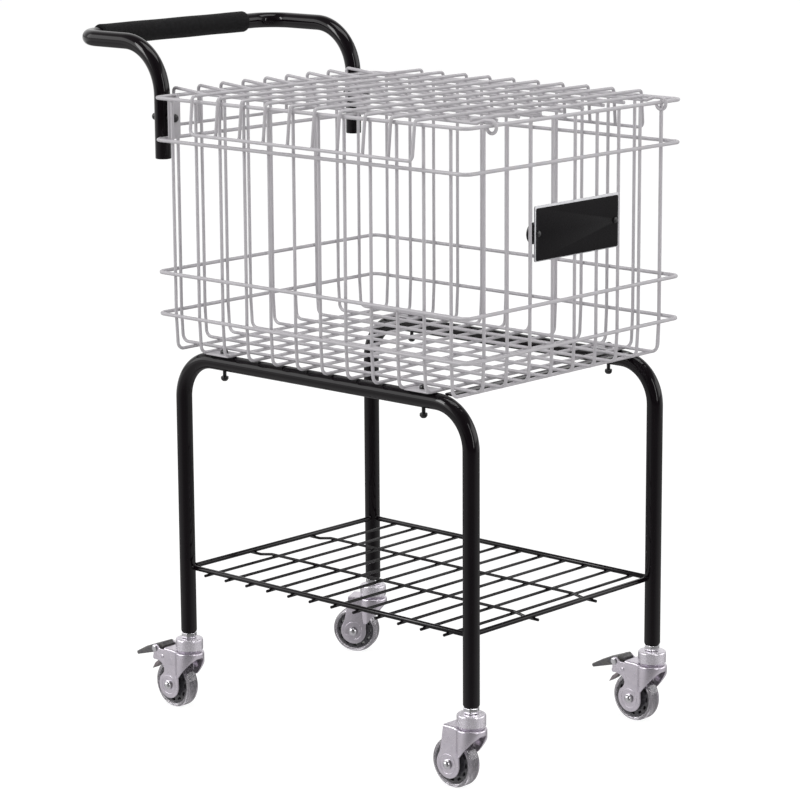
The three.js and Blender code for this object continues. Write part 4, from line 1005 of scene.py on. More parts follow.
@dataclass(frozen=True)
class WireBasket:
    """The welded wire cage with its bolting tabs, and the bolts that hold it to the hoops."""

    wire_r: float = 2.25
    rim_r: float = 2.5
    rim_x: float = 278.2
    rim_y: float = 215.8
    rim_corner_r: float = 11.0
    rim_heights: tuple[float, ...] = (858.0, 801.5, 621.7, 564.8)
    wall_x: float = 273.55
    wall_y: float = 211.15
    floor_z: float = 517.75
    long_floor_z: float = 522.15
    bend_r: float = 10.0
    foot_inset: float = 2.5
    top_rise: float = 1.4
    short_count: int = 12
    short_pitch: float = 45.2
    long_count: int = 9
    long_pitch: float = 44.45
    sides: int = 16
    tab_x: float = 180.8
    tab_y: float = 188.0
    tab_half_length: float = 15.0
    tab_t: float = 2.0
    tab_bottom_z: float = 515.28
    bolt_r: float = 2.5
    head_r: float = 5.4
    head_h: float = 6.0
    nut_top_z: float = 485.8
    nut_h: float = 7.0
    knee_r: float = 30.0
    rim_bead_r: float = 2.3
    rim_bead_t: float = 1.2
    floor_bead: Point = (2.2, 2.2, 1.1)
    tab_side_gap: float = 1.4
    tab_corner_r: float = 2.0
    tab_bevel: float = 0.4
    hole_play: float = 0.4
    thread_play: float = 0.2
    seat_gap: float = 0.15
    thread_end: float = 4.0
    nut_across: float = 1.02
    nut_flat_share: float = 0.6
    nut_round: float = 0.8
    nut_bevel: float = 0.6
    cap_dome: tuple[Spot, ...] = ((0, 0), (2.6, 0.5), (4.2, 1.8))
    cap_r: float = 4.6
    cap_seat_share: float = 0.55

    def wall_path(self, place: float, half: float, floor_z: float, along_y: bool) -> np.ndarray:
        """Lays out one U wire.

        Args:
            place: where it stands along the other axis.
            half: half the distance between its walls.
            floor_z: the height of its floor run.
            along_y: whether it crosses the basket along Y.

        Returns: the wire's centreline.
        """
        top, low = self.rim_heights[0] + self.top_rise, self.rim_heights[-1]
        down = [(-half, top), (-half, low), (self.foot_inset - half, floor_z)]
        corners = [*down, *((-a, z) for a, z in reversed(down))]
        spots = [(place, a, z) if along_y else (a, place, z) for a, z in corners]
        radii = [self.knee_r, self.bend_r, self.bend_r, self.knee_r]
        return rounded_line(spots, radii, WIRE_BEND_STEPS)

    def rim_path(self, z: float) -> np.ndarray:
        """Lays out one rim.

        Args:
            z: its height.

        Returns: the rim's centreline.
        """
        x, y = self.rim_x, self.rim_y
        corners = [(0, -y, z), (x, -y, z), (x, y, z), (-x, y, z), (-x, -y, z), (0, -y, z)]
        return rounded_line(corners, [self.rim_corner_r] * 4, WIRE_BEND_STEPS)[:-1]

    def build(self, finishes: Finishes) -> None:
        """Builds all the pieces.

        Args:
            finishes: the cart's finishes.
        """
        draft = Draft()
        for z in self.rim_heights:
            draft.sweep(self.rim_path(z), self.rim_r, self.sides, closed=True)
        xs = spaced(self.short_count, self.short_pitch)
        ys = spaced(self.long_count, self.long_pitch)
        paths = [self.wall_path(x, self.wall_y, self.floor_z, True) for x in xs]
        paths += [self.wall_path(y, self.wall_x, self.long_floor_z, False) for y in ys]
        for path in paths:
            draft.sweep(path, self.wire_r, self.sides)
        self.add_welds(draft, xs, ys)
        for corner in Corner:
            x, y = corner.place(self.tab_x, self.tab_y)
            self.add_tab(draft, x, y)
            self.build_fixing(finishes, corner, x, y)
        materials = [finishes.light_coat]
        draft.build("basket_wires", materials, FRAME_BODY, ["basket_cage"], "steel_light")

    def add_welds(self, draft: Draft, xs: Sequence[float], ys: Sequence[float]) -> None:
        """Adds a bead wherever two wires cross.

        Args:
            draft: the cage's surfaces.
            xs: places of the wires that cross the basket along Y.
            ys: places of the wires that cross it along X.
        """
        weld_y = self.wall_y + self.wire_r
        weld_x = self.wall_x + self.wire_r
        flat, round_r = self.rim_bead_t, self.rim_bead_r
        for z in self.rim_heights:
            for sign in BOTH:
                for x in xs:
                    draft.bead((x, sign * weld_y, z), (round_r, flat, round_r))
                for y in ys:
                    draft.bead((sign * weld_x, y, z), (flat, round_r, round_r))
        for x in xs:
            for y in ys:
                draft.bead((x, y, self.floor_z + self.wire_r), self.floor_bead)

    def add_tab(self, draft: Draft, x: float, y: float) -> None:
        """Adds a bolting tab between two floor wires.

        Args:
            draft: the cage's surfaces.
            x: the tab's middle.
            y: the tab's middle.
        """
        half_w = self.short_pitch / 2 - self.tab_side_gap
        outline = box_outline(half_w, self.tab_half_length, self.tab_corner_r)
        place = moved(x, y, self.tab_bottom_z + self.tab_t / 2)
        hole = circle(self.bolt_r + self.hole_play, HOLE_SIDES)
        draft.plate(outline, self.tab_t, self.tab_bevel, place, [hole])

    def build_fixing(self, finishes: Finishes, corner: Corner, x: float, y: float) -> None:
        """Builds a bolt and its nut.

        Args:
            finishes: the cart's finishes.
            corner: which corner of the basket.
            x: the bolt's axis.
            y: the bolt's axis.
        """
        seat = self.tab_bottom_z + self.tab_t + self.seat_gap
        length = seat - self.nut_top_z + self.thread_end
        profile = dome_bolt(self.head_r, self.head_h, self.bolt_r, length)
        name = f"{corner.label}_basket"
        build_screw(finishes, f"{name}_bolt", "screw", profile, moved(x, y, seat))
        nut = Draft()
        outline = smooth_outline(circle(self.head_r * self.nut_across, 6), self.nut_round)
        thick = self.nut_h * self.nut_flat_share
        bore = circle(self.bolt_r + self.thread_play, HOLE_SIDES)
        nut.plate(outline, thick, self.nut_bevel, moved(x, y, self.nut_top_z - thick / 2), [bore])
        seat = -self.nut_h * self.cap_seat_share
        cap = [(radius, rise - self.nut_h) for radius, rise in self.cap_dome]
        cap += [(self.cap_r, seat), (0, seat)]
        nut.turn(cap, BORE_SIDES, moved(x, y, self.nut_top_z))
        node = f"{name}_nut"
        nut.build(f"{node}_cap", [finishes.black_oxide], FRAME_BODY, [node], "black_screw")


@dataclass(frozen=True)
class Lid:
    """The hinged lid: a wire grid with skirts on three sides and two hinge eyes."""

    wire_r: float = 2.25
    cross_z: float = 863.52
    runner_z: float = 859.1
    side_y: float = 221.85
    rear_x: float = -284.2
    skirt_z: float = 813.0
    skirt_flare: float = 5.0
    cross_count: int = 10
    cross_pitch: float = 44.0
    cross_middle_x: float = 4.5
    last_cross_x: float = 246.5
    runner_count: int = 9
    runner_pitch: float = 42.5
    stub_x: float = 252.0
    bend_r: float = 5.0
    skirt_r: float = 8.0
    hump_z: float = 864.2
    hump_end_x: float = -228.2
    eye_r: float = 7.75
    eye_x: float = 279.4
    eye_z: float = 856.4
    eye_rise_start_x: float = 255.0
    eye_rise_end_x: float = 268.0
    eye_turn: float = 255.0
    lift: float = 0.35
    hinge: Spot = (278.2, 858.0)
    sides: int = 16
    ramp_r: float = 60.0
    eye_bend_r: float = 8.0
    eye_steps: int = 32
    wire_lap: float = 0.3
    grid_bead: Point = (2.2, 2.2, 1.1)
    edge_bead_r: float = 2.2
    edge_bead_t: float = 1.2
    edge_bead_rise: float = 1.0

    def build(self, finishes: Finishes) -> None:
        """Builds the lid.

        Args:
            finishes: the cart's finishes.
        """
        hinge_x, hinge_z = self.hinge
        lifted = moved(hinge_x, 0, hinge_z, Matrix.Rotation(math.radians(self.lift), 4, "Y"))
        draft = Draft(lifted @ moved(-hinge_x, 0, -hinge_z))
        xs = spaced(self.cross_count, self.cross_pitch, self.cross_middle_x)
        ys = spaced(self.runner_count, self.runner_pitch)
        for x in xs[1:-1]:
            self.add_cross_wire(draft, x)
        end = ys[-1] + self.wire_r
        last = [(self.last_cross_x, -end, self.cross_z), (self.last_cross_x, end, self.cross_z)]
        draft.sweep(last, self.wire_r, self.sides)
        for y in ys[1:-1]:
            corners = [*self.hump(self.rear_x, y), (self.stub_x, y, self.runner_z)]
            path = rounded_line(corners, [self.bend_r, self.ramp_r], WIRE_BEND_STEPS)
            draft.sweep(path, self.wire_r, self.sides)
        draft.sweep(self.side_border(xs[0], xs[-1]), self.wire_r, self.sides, closed=True)
        near, far = self.hinge_half(ys[0]), self.hinge_half(ys[-1])
        draft.sweep(np.vstack([near[::-1], far[1:]]), self.wire_r, self.sides)
        self.add_welds(draft, xs, ys)
        draft.build("lid_wires", [finishes.light_coat], LID_BODY, ["lid"], "steel_light")

    @property
    def step(self) -> float:
        """Returns: how far outside the other uprights a skirt's edge wire lies."""
        return 2 * self.wire_r - self.wire_lap

    def add_cross_wire(self, draft: Draft, x: float) -> None:
        """Adds a wire that crosses the lid and hangs down both sides.

        Args:
            draft: the lid's surfaces.
            x: where it lies.
        """
        y, foot = self.side_y, self.side_y + self.skirt_flare
        top, low = self.cross_z, self.skirt_z
        corners = [(x, -foot, low), (x, -y, top), (x, y, top), (x, foot, low)]
        path = rounded_line(corners, [self.bend_r] * 2, WIRE_BEND_STEPS)
        draft.sweep(path, self.wire_r, self.sides)

    def side_border(self, first: float, last: float) -> np.ndarray:
        """Lays out the closed wire of both end cross wires and both side skirts' edges.

        Args:
            first: place of the rearmost cross wire.
            last: place of the foremost one that hangs down.

        Returns: the wire's centreline.
        """
        y, top, low = self.side_y + self.step, self.cross_z, self.skirt_z
        foot = y + self.skirt_flare
        near = [(first, -y, top), (first, -foot, low), (last, -foot, low), (last, -y, top)]
        far = [(x, -across, z) for x, across, z in reversed(near)]
        corners = [(first, 0, top), *near, *far, (first, 0, top)]
        radii = [self.bend_r, self.skirt_r, self.skirt_r, self.bend_r] * 2
        return rounded_line(corners, radii, WIRE_BEND_STEPS)[:-1]

    def hump(self, x: float, y: float) -> list[Point]:
        """Lays out a runner's rear end: up behind the rear rim, over it and down to the grid.

        Args:
            x: how far back its upright stands.
            y: where it lies.

        Returns: its corners.
        """
        return [(x, y, self.skirt_z), (x, y, self.hump_z), (self.hump_end_x, y, self.runner_z)]

    def hinge_half(self, y: float) -> np.ndarray:
        """Lays out an outer runner, from the middle of the rear skirt's edge to its hinge eye.

        Args:
            y: where the runner lies.

        Returns: the centreline.
        """
        top, behind = self.eye_z + self.eye_r, self.rear_x - self.step
        corners = [
            (behind, 0, self.skirt_z), *self.hump(behind, y),
            (self.eye_rise_start_x, y, self.runner_z), (self.eye_rise_end_x, y, top),
            (self.eye_x, y, top),
        ]
        radii = [self.skirt_r, self.bend_r, self.ramp_r, self.eye_bend_r, self.eye_bend_r]
        path = list(rounded_line(corners, radii, WIRE_BEND_STEPS))
        for k in range(1, self.eye_steps + 1):
            angle = math.pi / 2 - math.radians(self.eye_turn) * k / self.eye_steps
            across, rise = self.eye_r * math.cos(angle), self.eye_r * math.sin(angle)
            path.append(np.array((self.eye_x + across, y, self.eye_z + rise)))
        return np.array(path)

    def add_welds(self, draft: Draft, xs: Sequence[float], ys: Sequence[float]) -> None:
        """Adds a bead wherever two wires meet.

        Args:
            draft: the lid's surfaces.
            xs: places of the cross wires.
            ys: places of the runners.
        """
        for x in [*xs, self.last_cross_x]:
            for y in ys:
                draft.bead((x, y, self.cross_z - self.wire_r), self.grid_bead)
        foot = self.side_y + self.skirt_flare + self.wire_r
        low = self.skirt_z + self.edge_bead_rise
        flat, round_r = self.edge_bead_t, self.edge_bead_r
        for x in xs[1:-1]:
            for sign in BOTH:
                draft.bead((x, sign * foot, low), (round_r, flat, round_r))
        for y in ys[1:-1]:
            draft.bead((self.rear_x - self.wire_r, y, low), (flat, round_r, round_r))


@dataclass(frozen=True)
class Handle:
    """The bent tube handle with its foam grip, clamping strips and bolts."""

    tube_r: float = 11.0
    tube_x: float = -292.25
    half_y: float = 188.0
    foot_z: float = 772.0
    top_z: float = 927.2
    grip_x: float = -457.5
    rise_r: float = 70.0
    corner_r: float = 38.0
    grip_r: float = 15.0
    grip_half: float = 140.5
    grip_y: float = -9.5
    grip_edge: float = 2.4
    bracket_x: float = -270.65
    bracket_t: float = 2.0
    bracket_w: float = 22.0
    bracket_low_z: float = 800.6
    bracket_high_z: float = 855.8
    bolt_z: float = 828.5
    bolt_r: float = 3.0
    head_r: float = 5.6
    head_h: float = 4.5
    bolt_sides: int = 32
    tube_edge: float = 1.2
    grip_gap: float = 0.1
    grip_edge_turns: tuple[float, ...] = (0.5, 1.0, 1.57)
    wave_h: float = 0.15
    wave_count: float = 9.0
    wave_reach: float = 0.9
    wave_rows: int = 25
    grip_crease: float = 60.0
    bracket_corner_r: float = 3.0
    bracket_bevel: float = 0.4
    hole_play: float = 0.3
    seat_gap: float = 0.15
    mouth_gap: float = 0.3
    thread_end: float = 4.0
    thread_play: float = 0.2
    cap_depth: float = 4.5
    cap_dome: tuple[Spot, ...] = (
        (0, -7), (0.46, -6.6), (0.8, -5), (0.96, -2.6), (1, -0.4), (0.97, 0),
    )

    def build(self, finishes: Finishes) -> None:
        """Builds all the pieces.

        Args:
            finishes: the cart's finishes.
        """
        x, y, top = self.tube_x, self.half_y, self.top_z
        near = [(x, -y, self.foot_z), (x, -y, top), (self.grip_x, -y, top)]
        corners = [*near, *((a, -b, z) for a, b, z in reversed(near))]
        radii = [self.rise_r, self.corner_r, self.corner_r, self.rise_r]
        path = rounded_line(corners, radii, TUBE_BEND_STEPS)
        tube = Draft()
        tube.sweep(path, self.tube_r, TUBE_SIDES, edge=self.tube_edge)
        materials = [finishes.black_coat]
        tube.build("handle_bent_tube", materials, FRAME_BODY, ["handle_tube"], "gloss_black")
        self.build_grip(finishes)
        for side in Side:
            self.build_bracket(finishes, side)

    def build_grip(self, finishes: Finishes) -> None:
        """Builds the foam sleeve, with rounded ends and a shallow ripple along its skin.

        Args:
            finishes: the cart's finishes.
        """
        draft = Draft()
        inner, outer, half = self.tube_r + self.grip_gap, self.grip_r, self.grip_half
        edge, wave, reach = self.grip_edge, self.wave_h, self.wave_reach
        end = [(inner, -half), (outer - edge, -half)]
        for a in self.grip_edge_turns:
            end.append((outer - edge + edge * math.sin(a), -half + edge - edge * math.cos(a)))
        skin = [
            (outer - wave + wave * math.sin(self.wave_count * s), half * s)
            for s in np.linspace(-reach, reach, self.wave_rows)
        ]
        profile = [*end, *skin, *((radius, -height) for radius, height in reversed(end))]
        place = moved(self.grip_x, self.grip_y, self.top_z, ALONG_Y)
        draft.turn(profile, TUBE_SIDES, place, ring=True)
        nodes = ["foam_grip"]
        grip = draft.build("foam_grip_sleeve", [finishes.foam], FRAME_BODY, nodes, "foam_black",
                           self.grip_crease)

    def build_bracket(self, finishes: Finishes, side: Side) -> None:
        """Builds a clamping strip with its bolt and nut.

        Args:
            finishes: the cart's finishes.
            side: which side it is on.
        """
        y = side.value * self.half_y
        half_h = (self.bracket_high_z - self.bracket_low_z) / 2
        middle = (self.bracket_high_z + self.bracket_low_z) / 2
        outline = box_outline(half_h, self.bracket_w / 2, self.bracket_corner_r)
        hole = circle(self.bolt_r + self.hole_play, HOLE_SIDES, (middle - self.bolt_z, 0))
        strip = Draft()
        place = moved(self.bracket_x + self.bracket_t / 2, y, middle, ALONG_X)
        strip.plate(outline, self.bracket_t, self.bracket_bevel, place, [hole])
        name, node = f"{side.label}_handle", f"{side.label}_handle_bracket"
        strip.build(f"{node}_strip", [finishes.light_coat], FRAME_BODY, [node], "steel_light")
        seat = self.bracket_x + self.bracket_t + self.seat_gap
        mouth = self.tube_x - self.tube_r - self.mouth_gap
        length = seat - mouth + self.thread_end
        bolt = dome_bolt(self.head_r, self.head_h, self.bolt_r, length)
        place = moved(seat, y, self.bolt_z, ALONG_X)
        build_screw(finishes, f"{name}_bolt", "screw", bolt, place, self.bolt_sides)
        bore, deep = self.bolt_r + self.thread_play, -self.cap_depth
        cap = [(share * self.head_r, height) for share, height in self.cap_dome]
        cap += [(bore, 0), (bore, deep), (0, deep)]
        place = moved(mouth, y, self.bolt_z, ALONG_X)
        build_screw(finishes, f"{name}_nut", "cap", cap, place)


@dataclass(frozen=True)
class NamePlate:
    """The blank plate on the front wall: a black face on thin metal, with two screws."""

    back_x: float = 276.2
    half_w: float = 84.75
    half_h: float = 35.75
    thickness: float = 1.5
    centre_z: float = 712.7
    corner_r: float = 3.0
    borders: tuple[float, ...] = (3.2, 1.0, 2.6, 1.0)
    screw_y: float = 77.5
    screw_r: float = 2.0
    head_r: float = 4.0
    head_h: float = 2.2
    clamp_x: float = 270.65
    flange_r: float = 14.0
    flange_t: float = 1.5
    nut_r: float = 4.0
    nut_h: float = 4.0
    flange_sides: int = 32
    hole_play: float = 0.3
    film_rise: float = 0.12
    film_t: float = 0.2
    film_bevel: float = 0.05
    metal_bevel: float = 0.25
    seat_gap: float = 0.1

    def outline(self, borders: Sequence[float]) -> list[Spot]:
        """Makes the edge of the plate or of its face.

        Args:
            borders: how far inside the real edge: top, bottom, right and left.

        Returns: the outline, with the plate's height along its own minus X.
        """
        top, bottom, right, left = borders
        up, down = -self.half_h + top, self.half_h - bottom
        near, far = -self.half_w + right, self.half_w - left
        return smooth_outline([(up, near), (down, near), (down, far), (up, far)], self.corner_r)

    def build(self, finishes: Finishes) -> None:
        """Builds all the pieces.

        Args:
            finishes: the cart's finishes.
        """
        bore, front = self.screw_r + self.hole_play, self.back_x + self.thickness
        holes = [circle(bore, HOLE_SIDES, (0, sign * self.screw_y)) for sign in BOTH]
        metal_t = self.thickness - self.film_rise
        metal = moved(self.back_x + metal_t / 2, 0, self.centre_z, ALONG_X)
        film = moved(front - self.film_t / 2, 0, self.centre_z, ALONG_X)
        sheet = Draft()
        sheet.plate(self.outline((0, 0, 0, 0)), metal_t, self.metal_bevel, metal, holes)
        sheet.plate(self.outline(self.borders), self.film_t, self.film_bevel, film, holes, paint=1)
        materials = [finishes.plate_edge, finishes.plate_face]
        sheet.build("name_plate_sheet", materials, FRAME_BODY, ["name_plate"], "plate_black")
        seat = front + self.seat_gap
        length = seat - self.clamp_x + self.flange_t + self.nut_h / 2
        screw = dome_bolt(self.head_r, self.head_h, self.screw_r, length)
        low, step = -self.flange_t - self.nut_h, -self.flange_t
        nut = [
            (bore, low), (self.nut_r, low), (self.nut_r, step),
            (self.flange_r, step), (self.flange_r, 0), (bore, 0),
        ]
        for side in Side:
            y, name = side.value * self.screw_y, f"{side.label}_plate"
            place = moved(seat, y, self.centre_z, ALONG_X)
            build_screw(finishes, f"{name}_screw", "head", screw, place)
            place = moved(self.clamp_x, y, self.centre_z, ALONG_X)
            build_screw(finishes, f"{name}_nut", "flange", nut, place, self.flange_sides, True)


@dataclass(frozen=True)
class Caster:
    """One swivel caster, made about its stem and trailing towards its own minus X."""

    corner: Corner
    leg_x: float = 261.0
    leg_y: float = 188.0
    nut_low_z: float = 104.1
    nut_high_z: float = 112.1
    nut_r: float = 10.97
    stem_r: float = 6.0
    stem_top_z: float = 136.0
    cup_r: float = 19.1
    cup_low_z: float = 87.4
    cup_high_z: float = 103.8
    kingpin_r: float = 5.0
    race_r: float = 15.0
    fork_top_z: float = 85.7
    fork_t: float = 2.6
    plate_r: float = 20.5
    rear_x: float = -34.0
    cheek_y: float = 17.0
    cheek_t: float = 2.5
    disc_r: float = 19.2
    trail: float = 26.0
    wheel_r: float = 33.5
    tyre_half_w: float = 10.0
    core_r: float = 28.0
    slot_count: int = 12
    slot_r: float = 23.0
    slot_length: float = 6.0
    slot_w: float = 3.4
    axle_r: float = 4.0
    pin_x: float = -53.0
    pin_z: float = 81.5
    pedal_half_w: float = 10.5
    bend_r: float = 2.6
    nose_drop: float = 1.5
    skirt_lap_z: float = 62.0
    nut_round: float = 1.2
    nut_bevel: float = 1.0
    play: float = 0.3
    cup_edge: float = 0.6
    cup_round_r: float = 3.0
    cup_round_h: float = 3.2
    cup_round_start: float = 0.25
    cup_round_rows: int = 6
    plate_lap: float = 0.3
    disc_arc: Spot = (148.0, 370.0)
    disc_points: int = 24
    cheek_corner_r: float = 3.0
    cheek_corner_steps: int = 3
    cheek_bevel: float = 0.7
    straight_points: int = 8
    nose_points: int = 61
    straight_gap: float = 0.8
    straight_lift: float = 0.02
    nose_gap: float = 0.04
    nose_start_x: float = -18.0
    nose_length: float = 9.0
    bend_rows: int = 7
    skirt_foot: tuple[Spot, ...] = ((0, 0.7), (-0.25, 0.2), (-0.8, 0))
    skirt_foot_round: Spot = (0.7, 0.5)
    skirt_head_drop: float = 0.6
    skirt_head_lap: float = 0.8
    hidden_step: float = 0.02
    race_gap: float = 0.5
    race_foot: float = 1.8
    race_rim: tuple[Spot, ...] = ((1.8, -0.1), (0.9, 0.5), (0.0, 2.4))
    race_lip: float = 0.6
    cup_gap: float = 0.4
    pin_hole_r: float = 3.4
    fork_crease: float = 50.0
    ring_r: float = 13.2
    ring_wire_r: float = 0.8
    ring_sink: float = 0.45
    ring_points: int = 36
    ring_sides: int = 8
    axle_sides: int = 32
    axle_rise: float = 0.35
    bearing_play: float = 0.4
    slot_corner_r: float = 1.7
    core_w: float = 16.0
    core_bevel: float = 0.8
    core_sides: int = 72
    boss_r: float = 9.0
    boss_edge: float = 0.6
    boss_sides: int = 36
    tyre_gap: float = 0.15
    tyre_round_r: float = 4.4
    tyre_round_arc: Spot = (0.1, 1.5)
    tyre_round_rows: int = 9
    tyre_foot: tuple[Spot, ...] = ((0.0, 1.9), (0.5, 0.4))
    tyre_sides: int = 96
    tyre_crease: float = 50.0
    # Ends of pins: pairs of radius, and distance beyond a plane near the cheek's outer face.
    rivet_inset: float = 0.2
    rivet_end: tuple[Spot, ...] = ((0, 0.8), (2.6, 0.6), (3.1, 0), (2.5, -0.6))
    axle_end: tuple[Spot, ...] = (
        (0, 5.2), (3.4, 4.8), (4.8, 3.6), (5.4, 2.0), (6.4, 1.6), (6.5, 0),
    )
    pin_rise: float = 0.3
    pin_end: tuple[Spot, ...] = ((0, 1.6), (3.6, 1.4), (4.9, 0.7), (4.9, 0), (3.0, 0))
    # Each wing has its direction, reach, half thickness at the pin and at the tip, and its dome.
    wings: tuple[tuple[float, ...], ...] = (
        (200.5, 46.8, 6.0, 2.4, 1.6), (34.0, 12.0, 4.4, 3.9, 0.2),
    )
    wing_corner_share: float = 0.8
    wing_bevel: float = 1.2
    pedal_eye: tuple[Spot, ...] = ((3.5, -13.9), (6.0, -13.9))
    leaf_hinge: Spot = (-37.5, 72.5)
    leaf_eye: tuple[Spot, ...] = ((3.4, -8.9), (5.4, -8.9))
    leaf_w: float = 12.0
    leaf_corner_r: float = 1.2
    leaf_bevel: float = 0.5
    leaf_edge: tuple[Spot, ...] = (
        (-38.6, 74.0), (-38.0, 70.6), (-45.0, 66.5), (-51.8, 61.2), (-60.5, 52.6), (-70.4, 46.4),
        (-64.6, 55.8), (-56.6, 62.0), (-47.4, 69.0),
    )
    skirt_edge: tuple[Spot, ...] = (
        (-10.6, 45.5), (-5.0, 46.3), (3.8, 57.0), (11.8, 66.2), (17.3, 72.8), (20.1, 76.3),
    )
    front_edge: tuple[Spot, ...] = ((-7.2, 42.0), (-7.6, 46.0), (-8.8, 49.0), (-8.8, 82.8))
    rear_edge: tuple[Spot, ...] = ((-35.6, 73.7), (-37.0, 63.0), (-39.8, 49.0))
    ear_edge: tuple[Spot, ...] = (
        (-42.9, 82.3), (-46.8, 85.8), (-50.6, 87.8), (-54.8, 86.6), (-57.0, 82.6), (-56.4, 77.5),
        (-55.6, 72.6), (-57.6, 68.8), (-55.8, 65.3), (-49.3, 66.0), (-41.4, 64.0), (-36.4, 60.4),
        (-34.2, 54.5), (-36.6, 48.5),
    )

    @property
    def name(self) -> str:
        """Returns: the caster's place."""
        return self.corner.label

    @property
    def base(self) -> Matrix:
        """Returns: the caster's placement under its leg."""
        x, y = self.corner.place(self.leg_x, self.leg_y)
        return moved(x, y, 0, Matrix.Rotation(self.corner.swivel, 4, "Z"))

    def finish(self, draft: Draft, piece: str, node: str, material: bpy.types.Material,
               slot: str, part: str = "", **settings: float) -> None:
        """Makes the object of a piece whose names begin with the caster's place.

        Args:
            draft: the piece's surfaces.
            piece: the rest of its own name.
            node: the rest of the name of the node that it stands for.
            material: its material.
            slot: the record's material slot.
            part: the part of the caster that it rides on; it rides on the frame without one.
            settings: the crease angle, where it has its own.
        """
        body = f"{self.name}_{part}" if part else FRAME_BODY
        nodes = [f"{self.name}_{node}"]
        draft.build(f"{self.name}_{piece}", [material], body, nodes, slot, **settings)

    def at_cheeks(self, end: Sequence[Spot], rise: float) -> list[Spot]:
        """Lays out a turned pin from cheek to cheek.

        Args:
            end: pairs of radius and distance beyond the plane that the rise gives.
            rise: how far that plane lies outside the cheeks.

        Returns: the pin's profile.
        """
        half = self.cheek_y + rise
        return both_ends([(radius, -half - beyond) for radius, beyond in end])

    def build(self, finishes: Finishes) -> None:
        """Builds all the pieces.

        Args:
            finishes: the cart's finishes.
        """
        self.build_swivel(finishes)
        self.build_fork(finishes)
        self.build_wheel(finishes)
        if self.corner.has_brake:
            self.build_brake(finishes)

    def build_swivel(self, finishes: Finishes) -> None:
        """Builds the stem nut and the cup over the ball race.

        Args:
            finishes: the cart's finishes.
        """
        nut = Draft(self.base)
        height = self.nut_high_z - self.nut_low_z
        outline = smooth_outline(circle(self.nut_r, 6), self.nut_round)
        bore = circle(self.stem_r + self.play, BORE_SIDES)
        nut.plate(outline, height, self.nut_bevel, moved(0, 0, self.nut_low_z + height / 2), [bore])
        self.finish(nut, "stem_hex_nut", "stem_nut", finishes.bright, "zinc_bright")
        cup = Draft(self.base)
        r, low, high = self.cup_r, self.cup_low_z, self.cup_high_z
        base, edge = self.fork_top_z - self.fork_t, self.cup_edge
        round_r, round_h = self.cup_round_r, self.cup_round_h
        profile = [(0, base), (self.kingpin_r, base), (self.kingpin_r, low)]
        profile += [(r - edge, low), (r, low + edge), (r, high - round_h)]
        for a in np.linspace(self.cup_round_start, math.pi / 2, self.cup_round_rows):
            across, rise = round_r * math.cos(a), round_h * math.sin(a)
            profile.append((r - round_r + across, high - round_h + rise))
        profile += [(self.stem_r, high), (self.stem_r, self.stem_top_z), (0, self.stem_top_z)]
        cup.turn(profile, TUBE_SIDES, Matrix.Identity(4))
        # The cup's pale, part-metal finish is a painted reflection.
        self.finish(cup, "swivel_cup_shell", "swivel_cup", finishes.cup, "zinc_satin")

    def cheek_outline(self) -> list[Spot]:
        """Lays out a cheek in side view.

        Returns: the outline, with X forwards and Z up.
        """
        plate_z = self.fork_top_z - self.bend_r - self.plate_lap
        behind = self.ear_edge if self.corner.has_brake else self.rear_edge
        corners = [(self.rear_x, plate_z), *behind]
        first, last = (math.radians(degrees) for degrees in self.disc_arc)
        for angle in np.linspace(first, last, self.disc_points):
            x = -self.trail + self.disc_r * math.cos(angle)
            corners.append((x, self.wheel_r + self.disc_r * math.sin(angle)))
        corners += self.front_edge
        return smooth_outline(corners, self.cheek_corner_r, self.cheek_corner_steps)

    def skirt_path(self) -> list[tuple[float, ...]]:
        """Lays out the edge of the fork's top, round the nose from one cheek to the other.

        Returns: for each point its place, its outward direction, the height of the top and the
            height of the skirt's lower edge.
        """
        crease = math.atan2(self.cheek_y, -math.sqrt(self.plate_r**2 - self.cheek_y**2))
        crease_x = self.plate_r * math.cos(crease)
        edge_y, count = self.cheek_y + self.straight_lift, self.straight_points
        xs = np.linspace(self.rear_x, crease_x - self.straight_gap, count)
        points = [(x, edge_y) for x in xs]
        for a in np.linspace(crease - self.nose_gap, -crease + self.nose_gap, self.nose_points):
            points.append((self.plate_r * math.cos(a), self.plate_r * math.sin(a)))
        points += [(x, -y) for x, y in reversed(points[:count])]
        along = np.gradient(np.array(points), axis=0)
        along /= np.linalg.norm(along, axis=1)[:, None]
        path = []
        for (x, y), (dx, dy) in zip(points, along):
            share = float(np.clip((x - self.nose_start_x) / self.nose_length, 0, 1))
            flat = x < crease_x - self.straight_gap / 2
            low = self.skirt_lap_z if flat else float(np.interp(x, *zip(*self.skirt_edge)))
            path.append((x, y, -dy, dx, self.fork_top_z - self.nose_drop * share, low))
        return path

    def add_pressing(self, fork: Draft) -> None:
        """Adds the fork's top with its edge bent down into the skirt round the nose.

        Args:
            fork: the fork's surfaces.
        """
        b, t = self.bend_r, self.cheek_t
        toe, heel = self.skirt_foot_round
        inner = b + self.skirt_head_lap
        path = self.skirt_path()
        points, faces = [], []
        for x, y, nx, ny, top, low in path:
            angles = np.linspace(math.pi / 2, 0, self.bend_rows)
            section = [(-b + b * math.cos(a), top - b + b * math.sin(a)) for a in angles]
            section += [(out, low + rise) for out, rise in self.skirt_foot]
            section += [(-t + toe, low), (-t, low + heel), (-t, top - b - self.skirt_head_drop)]
            section += [(-inner, top - self.fork_t), (-inner, top - self.hidden_step)]
            points += [(x + nx * out, y + ny * out, z) for out, z in section]
        size = len(points) // len(path)
        for i in range(len(path) - 1):
            for k in range(size):
                a, c = i * size + k, i * size + (k + 1) % size
                faces.append((a, c, c + size, a + size))
        faces += [tuple(range(size)), tuple((len(path) - 1) * size + k for k in range(size))]
        fork.add(points, faces)
        self.add_cover(fork, path[: len(path) // 2])

